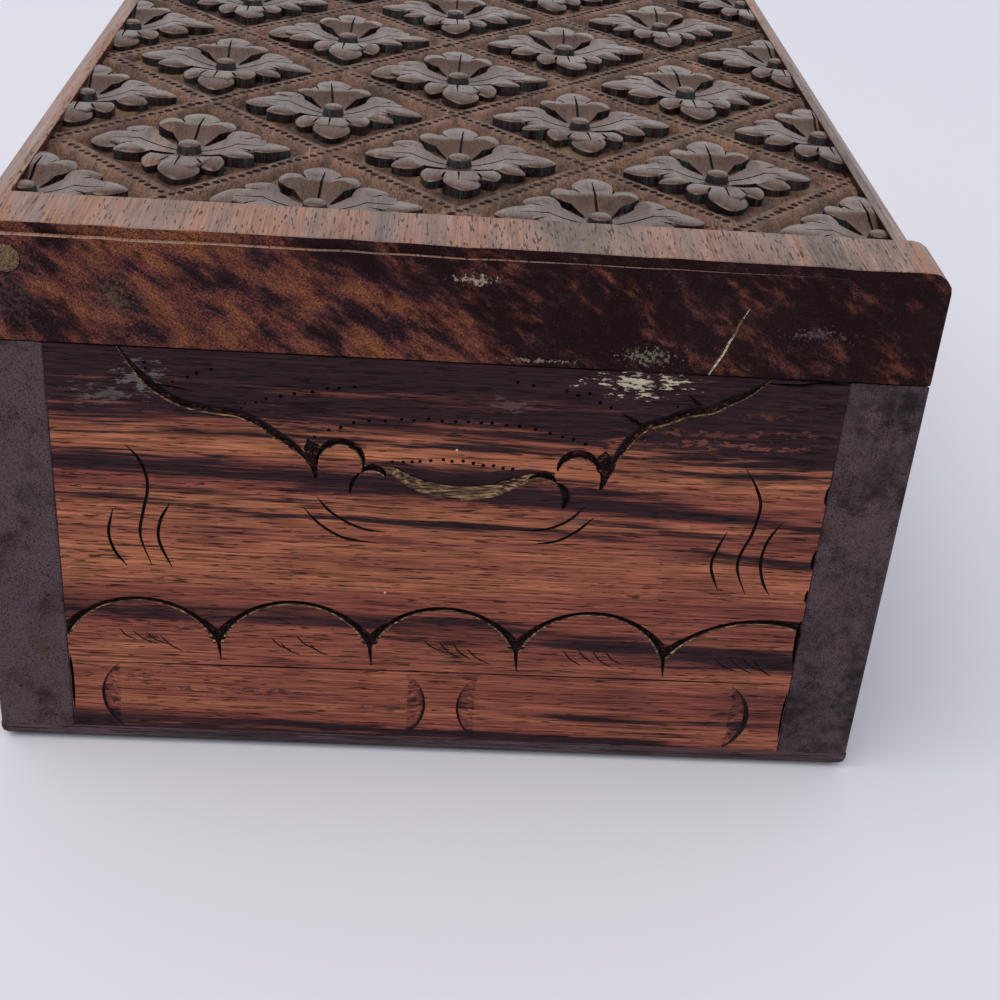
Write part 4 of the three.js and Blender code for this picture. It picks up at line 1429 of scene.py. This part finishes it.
# Pricked dots that stand in no row, on an end panel
LONE_DOTS = [
    (-31.4, 50.0), (-31.3, 49.3), (-28.6, 47.9), (-27, 48.6), (-26.1, 49.1), (-24.6, 49.6), (-22.7, 45.1),
    (-21.6, 45.2), (-21.2, 45.8), (-20.1, 46), (-19, 46.5), (-17.5, 46.9), (-16.1, 47.3), (-14.2, 47.6),
    (-12.7, 48.1), (-11.5, 48.2), (-9.9, 48.4), (12.1, 49.2), (13.3, 48.7), (14.5, 49), (15.7, 48),
    (16.9, 47.5), (23.9, 47.9), (8.6, 49.6), (6.9, 49.9),
]


def end_pattern(lines, rng):
    """Everything cut into an end panel, in panel coordinates: across, and height from the foot."""
    cutters = swag(lines)
    cutters += sprig(
        lines,
        [(-33.8, 40.3), (-32.6, 38.9), (-31.8, 36.9), (-31.7, 34.8), (-32.3, 32), (-32.7, 29),
         (-31.6, 25.2)],
        [(-35.5, 32.3), (-36.1, 29.4), (-35.6, 27), (-34.3, 25)],
        [(-29.4, 33.3), (-30.5, 31), (-30.7, 28.4), (-29.4, 25)])
    cutters += sprig(
        lines,
        [(32.2, 40.9), (33.6, 38.6), (34.4, 36.3), (34, 32.8), (33.1, 30), (33.1, 27.8), (34.4, 24.7)],
        [(31.2, 32.9), (30.3, 30.1), (30.1, 28), (31.2, 25.2)],
        [(37.2, 34.5), (35.9, 32), (35.5, 29.2), (36.1, 26.6), (37.1, 24.8)])
    cutters += whiskers(lines)
    cusps = [-41.6, -24.6, -7.5, 9.2, 26.2, 41.8]
    tops = [(-33.4, 20.6), (-16.2, 20.9), (1, 20.9), (17.4, 21.1), (36.6, 20.9)]
    heights = [(15.6, 15.2), (15.2, 15.4), (15.4, 15.5), (15.5, 15.5), (15.5, 20)]
    cutters += scallops(lines, cusps, tops, heights)
    cutters += long_field(lines, -37.8, -1.1) + long_field(lines, 3.1, 36.8, dark=(0.3, 0.6))
    cutters.append(field_line(half=40.8))
    cutters += hatching([-33, -16, 1.5, 17.5, 35], foot=15, rng=rng)
    cutters += joint_gaps()
    spots = dot_row([
        (-14, 42.4), (-10, 44.2), (-6.4, 44.7), (-1.9, 45), (3.3, 45), (6.6, 44.8), (9.6, 44.3),
        (12.7, 43.6), (15.9, 42.6)], pitch=1.5, rng=rng)
    spots += dot_row([
        (-5.6, 39.6), (-3, 40), (0.3, 40.2), (2.6, 40.1), (5.9, 39.7), (8.2, 39.4)], pitch=1.12, rng=rng)
    spots += [Vector(spot) for spot in LONE_DOTS]
    return cutters, spots


def side_pattern(lines, rng):
    """Everything cut into a long wall: the end's pattern, drawn out to the wall's length."""
    cutters = swag(lines) + whiskers(lines) + [field_line(half=66)]
    for x in (-60, -44, 44, 60):
        cutters += sprig(
            lines, [(x, 40.3), (x + 1.8, 36.2), (x + 1, 31), (x + 1.9, 25)],
            [(x - 2, 32.3), (x - 2.6, 29), (x - 1, 25.2)], [(x + 4, 33.4), (x + 2.8, 30), (x + 4.3, 25.2)])
    arches, half, cusp_height, top_height = 8, 66.5, 15.8, 20.9
    cusps = [-half + 2 * half * k / arches for k in range(arches + 1)]
    tops = [((a + b) / 2, top_height) for a, b in zip(cusps, cusps[1:])]
    cutters += scallops(lines, cusps, tops, [(cusp_height, cusp_height)] * arches)
    for x0, x1 in ((-65, -24), (-20.5, 20.5), (24, 65)):
        cutters += long_field(lines, x0, x1)
    spots = dot_row([(-14, 42.4), (-8, 44.6), (0, 45.2), (8, 44.7), (15.9, 42.6)], pitch=1.5, rng=rng)
    spots += dot_row([(-5.6, 39.6), (0.3, 40.2), (8.2, 39.4)], pitch=1.12, rng=rng)
    return cutters, spots


def incised(bm, pattern, place, lines):
    """Cuts a pattern into a board; place turns panel coordinates into the box's own."""
    cutters, spots = pattern
    for tool in cutters:
        bm = cut(bm, moved(tool, place))
    mouth_share, tip_share, least_gap_share = 1.2, 0.4, 2.4
    prick = scratch(stained(cone(
        lines.dot_radius * mouth_share, lines.dot_radius * tip_share, 2 * lines.dot_depth), LINE))
    dots = bmesh.new()
    placed = []
    for spot in spots:
        if all((spot - other).length > least_gap_share * lines.dot_radius for other in placed):
            placed.append(spot)
            add_copy(dots, prick.data, place @ Matrix.Translation((spot.x, spot.y, lines.dot_depth)))
    discard(prick)
    return cut(bm, dots)


def face_place(origin, across, outwards):
    """Panel coordinates: across, up and outwards, from a point at the foot of a face."""
    return Matrix((
        (across[0], 0, outwards[0], origin[0]),
        (across[1], 0, outwards[1], origin[1]),
        (0, 1, 0, 0),
        (0, 0, 0, 1),
    ))


class CARVEDBOX_OT_end_panels(bpy.types.Operator):
    """Makes both end panels with their incised lines"""

    bl_idname = "carvedbox.end_panels"
    bl_label = "End Panels"

    seed: IntProperty(name="Seed", description="Changes the unevenness of the hand work", default=3)

    def execute(self, context):
        lines = in_mm(context.scene.box_lines)
        for node, end in (("near_end_panel", -1), ("far_end_panel", 1)):
            low, high = box_mm(node)
            level = max(-low.y, high.y)
            bm = flatten_joins(frame_copy(node))
            place = face_place((0, end * level, 0), (-end, 0, 0), (0, end, 0))
            bm = incised(bm, end_pattern(lines, random.Random(self.seed + end)), place, lines)
            flatten_joins(bm)
            woods = [WOODS[key] for key in ("panel", "line", "rough", "fibre", "hollow")]
            settle(bm, f"{node}_board", woods, BODY, [node], sharp=BOARD_SHARP_ANGLE)
        return {"FINISHED"}


class CARVEDBOX_OT_long_walls(bpy.types.Operator):
    """Makes the front and back walls with their incised lines"""

    bl_idname = "carvedbox.long_walls"
    bl_label = "Long Walls"

    seed: IntProperty(name="Seed", description="Changes the unevenness of the hand work", default=8)

    def execute(self, context):
        lines = in_mm(context.scene.box_lines)
        for node, side in (("front_wall", 1), ("back_wall", -1)):
            low, high = box_mm(node)
            level = max(-low.x, high.x)
            bm = flatten_joins(frame_copy(node))
            wear_edges(bm, lines.edge_wear, least_length=10)
            place = face_place((side * level, 0, 0), (0, side, 0), (side, 0, 0))
            bm = incised(bm, side_pattern(lines, random.Random(self.seed + side)), place, lines)
            flatten_joins(bm)
            woods = [WOODS[key] for key in ("side", "line", "rough", "fibre", "side")]
            settle(bm, f"{node}_board", woods, BODY, [node], sharp=BOARD_SHARP_ANGLE)
        return {"FINISHED"}


class CARVEDBOX_OT_bottom_board(bpy.types.Operator):
    """Makes the thin bottom board with its worn edges"""

    bl_idname = "carvedbox.bottom_board"
    bl_label = "Bottom Board"

    def execute(self, context):
        bm = flatten_joins(frame_copy("bottom_board"))
        settle(bm, "bottom_board_worn", [WOODS["base"]], BODY, ["bottom_board"])
        return {"FINISHED"}


# Fittings and stage

class CARVEDBOX_OT_fittings(bpy.types.Operator):
    """Gives the hinges, screws, nails and the plug their finishes"""

    bl_idname = "carvedbox.fittings"
    bl_label = "Fittings"

    def execute(self, context):
        colours = context.scene.box_colours
        brass = metal("aged_brass_hinge", tuple(colours.brass), roughness=0.32)
        screw = metal("turned_brass_screw", tuple(colours.brass), roughness=0.26)
        steel = metal("dull_steel_nail", tuple(colours.steel), roughness=0.45)
        finishes = {"screw": screw, "nail": steel, "leaf": brass, "pin": brass, "plug": WOODS["plug"]}
        for name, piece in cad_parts.items():
            finish = next((finishes[word] for word in finishes if word in name), None)
            if finish:
                piece.data.materials.clear()
                piece.data.materials.append(finish)
        return {"FINISHED"}


# The camera's turn and place, which give the box the outline that it has in the photograph
CAMERA_PLACE = Matrix((
    (0.99739291, -0.04606159, -0.05554924, -0.0036078),
    (-0.02384381, 0.51618833, -0.85614314, -0.2249215),
    (0.06810918, 0.8552356, 0.5137443, 0.1248778),
    (0, 0, 0, 1),
))


def make_floor(shade):
    """A large matt floor under the box."""
    reach = 6
    bm = bmesh.new()
    bmesh.ops.create_grid(bm, x_segments=1, y_segments=1, size=reach)
    mesh = bpy.data.meshes.new("floor")
    bm.to_mesh(mesh)
    bm.free()
    material, tree = new_material("matt_white_board")
    shader = add_node(tree, "BsdfPrincipled", {"Base Color": opaque(shade), "Roughness": 0.7})
    add_node(tree, "OutputMaterial", {"Surface": shader})
    mesh.materials.append(material)
    floor = bpy.data.objects.new("floor", mesh)
    bpy.context.scene.collection.objects.link(floor)


def make_surroundings(sky_strength):
    """Even daylight, and a pale backdrop that only the camera, gloss and glass see."""
    world = bpy.data.worlds.new("soft_daylight")
    world.use_nodes = True
    world.node_tree.nodes.clear()
    add = partial(add_node, world.node_tree)
    rise = add("SeparateXYZ", {"Vector": add("TexCoord", {}, "Generated")}, "Z")
    backdrop = add("ValToRGB", {"Fac": rise}, stops=[
        (0.0, opaque(linear("#eff0f2"))), (0.48, opaque(linear("#e3e5ea"))),
        (0.8, opaque(linear("#6e7177")))])
    seen = add("Background", {"Color": backdrop, "Strength": 1.0})
    light = add("Background", {"Color": opaque(linear("#e4e8f2")), "Strength": sky_strength})
    camera_ray = add("LightPath", {}, "Is Camera Ray")
    path = camera_ray.node.outputs
    shown = add("Math", {0: camera_ray, 1: path["Is Glossy Ray"]}, operation="MAXIMUM")
    shown = add("Math", {0: shown, 1: path["Is Transmission Ray"]}, operation="MAXIMUM")
    add("OutputWorld", {"Surface": add("MixShader", {0: shown, 1: light, 2: seen})})
    bpy.context.scene.world = world


class CARVEDBOX_OT_stage(bpy.types.Operator):
    """Makes the floor, the lamps, the camera and the pale surroundings"""

    bl_idname = "carvedbox.stage"
    bl_label = "Stage"

    def execute(self, context):
        chosen = context.scene.box_stage
        make_floor(chosen.floor_colour)
        make_surroundings(chosen.sky_strength)

        lamp = bpy.data.lights.new("window", "AREA")
        lamp.shape = "RECTANGLE"
        lamp.size = 1.8
        lamp.size_y = 1.4
        lamp.energy = chosen.window_power
        lamp.color = linear("#fff8f0")
        window = bpy.data.objects.new("window", lamp)
        window.location = (-0.5, -0.45, 1.7)
        middle_of_box = Vector((0, 0, 0.05))
        window.rotation_euler = (middle_of_box - window.location).to_track_quat("-Z", "Y").to_euler()
        context.scene.collection.objects.link(window)

        camera_data = bpy.data.cameras.new("camera")
        camera_data.sensor_width = 36
        camera_data.lens = chosen.lens
        camera_data.clip_start = 0.01
        camera = bpy.data.objects.new("camera", camera_data)
        camera.matrix_world = CAMERA_PLACE
        context.scene.collection.objects.link(camera)
        context.scene.camera = camera
        context.scene.view_settings.view_transform = "Standard"
        return {"FINISHED"}


# Panel and registration

PIECE_OPERATORS = (
    CARVEDBOX_OT_lid_board,
    CARVEDBOX_OT_ground,
    CARVEDBOX_OT_lattice,
    CARVEDBOX_OT_flowers,
    CARVEDBOX_OT_end_panels,
    CARVEDBOX_OT_long_walls,
    CARVEDBOX_OT_bottom_board,
    CARVEDBOX_OT_fittings,
    CARVEDBOX_OT_stage,
)


class CARVEDBOX_PT_pieces(bpy.types.Panel):
    """Lists the pieces of the box and their settings"""

    bl_idname = "CARVEDBOX_PT_pieces"
    bl_label = "Carved Box"
    bl_space_type = "VIEW_3D"
    bl_region_type = "UI"
    bl_category = "Carved Box"

    def draw(self, context):
        for operator in PIECE_OPERATORS:
            self.layout.operator(operator.bl_idname)
        for name, group in SETTINGS:
            column = self.layout.column(heading=group.__doc__)
            for setting in group.__annotations__:
                column.prop(getattr(context.scene, name), setting)


def register():
    for _, group in SETTINGS:
        bpy.utils.register_class(group)
    for operator in PIECE_OPERATORS:
        bpy.utils.register_class(operator)
    bpy.utils.register_class(CARVEDBOX_PT_pieces)
    for name, group in SETTINGS:
        setattr(bpy.types.Scene, name, PointerProperty(type=group))


def unregister():
    for name, _ in SETTINGS:
        delattr(bpy.types.Scene, name)
    bpy.utils.unregister_class(CARVEDBOX_PT_pieces)
    for operator in reversed(PIECE_OPERATORS):
        bpy.utils.unregister_class(operator)
    for _, group in reversed(SETTINGS):
        bpy.utils.unregister_class(group)


def main():
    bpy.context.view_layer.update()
    register()
    WOODS.update(make_woods())
    for operator in PIECE_OPERATORS:
        group, name = operator.bl_idname.split(".")
        getattr(getattr(bpy.ops, group), name)()


if __name__ == "__main__":
    main()
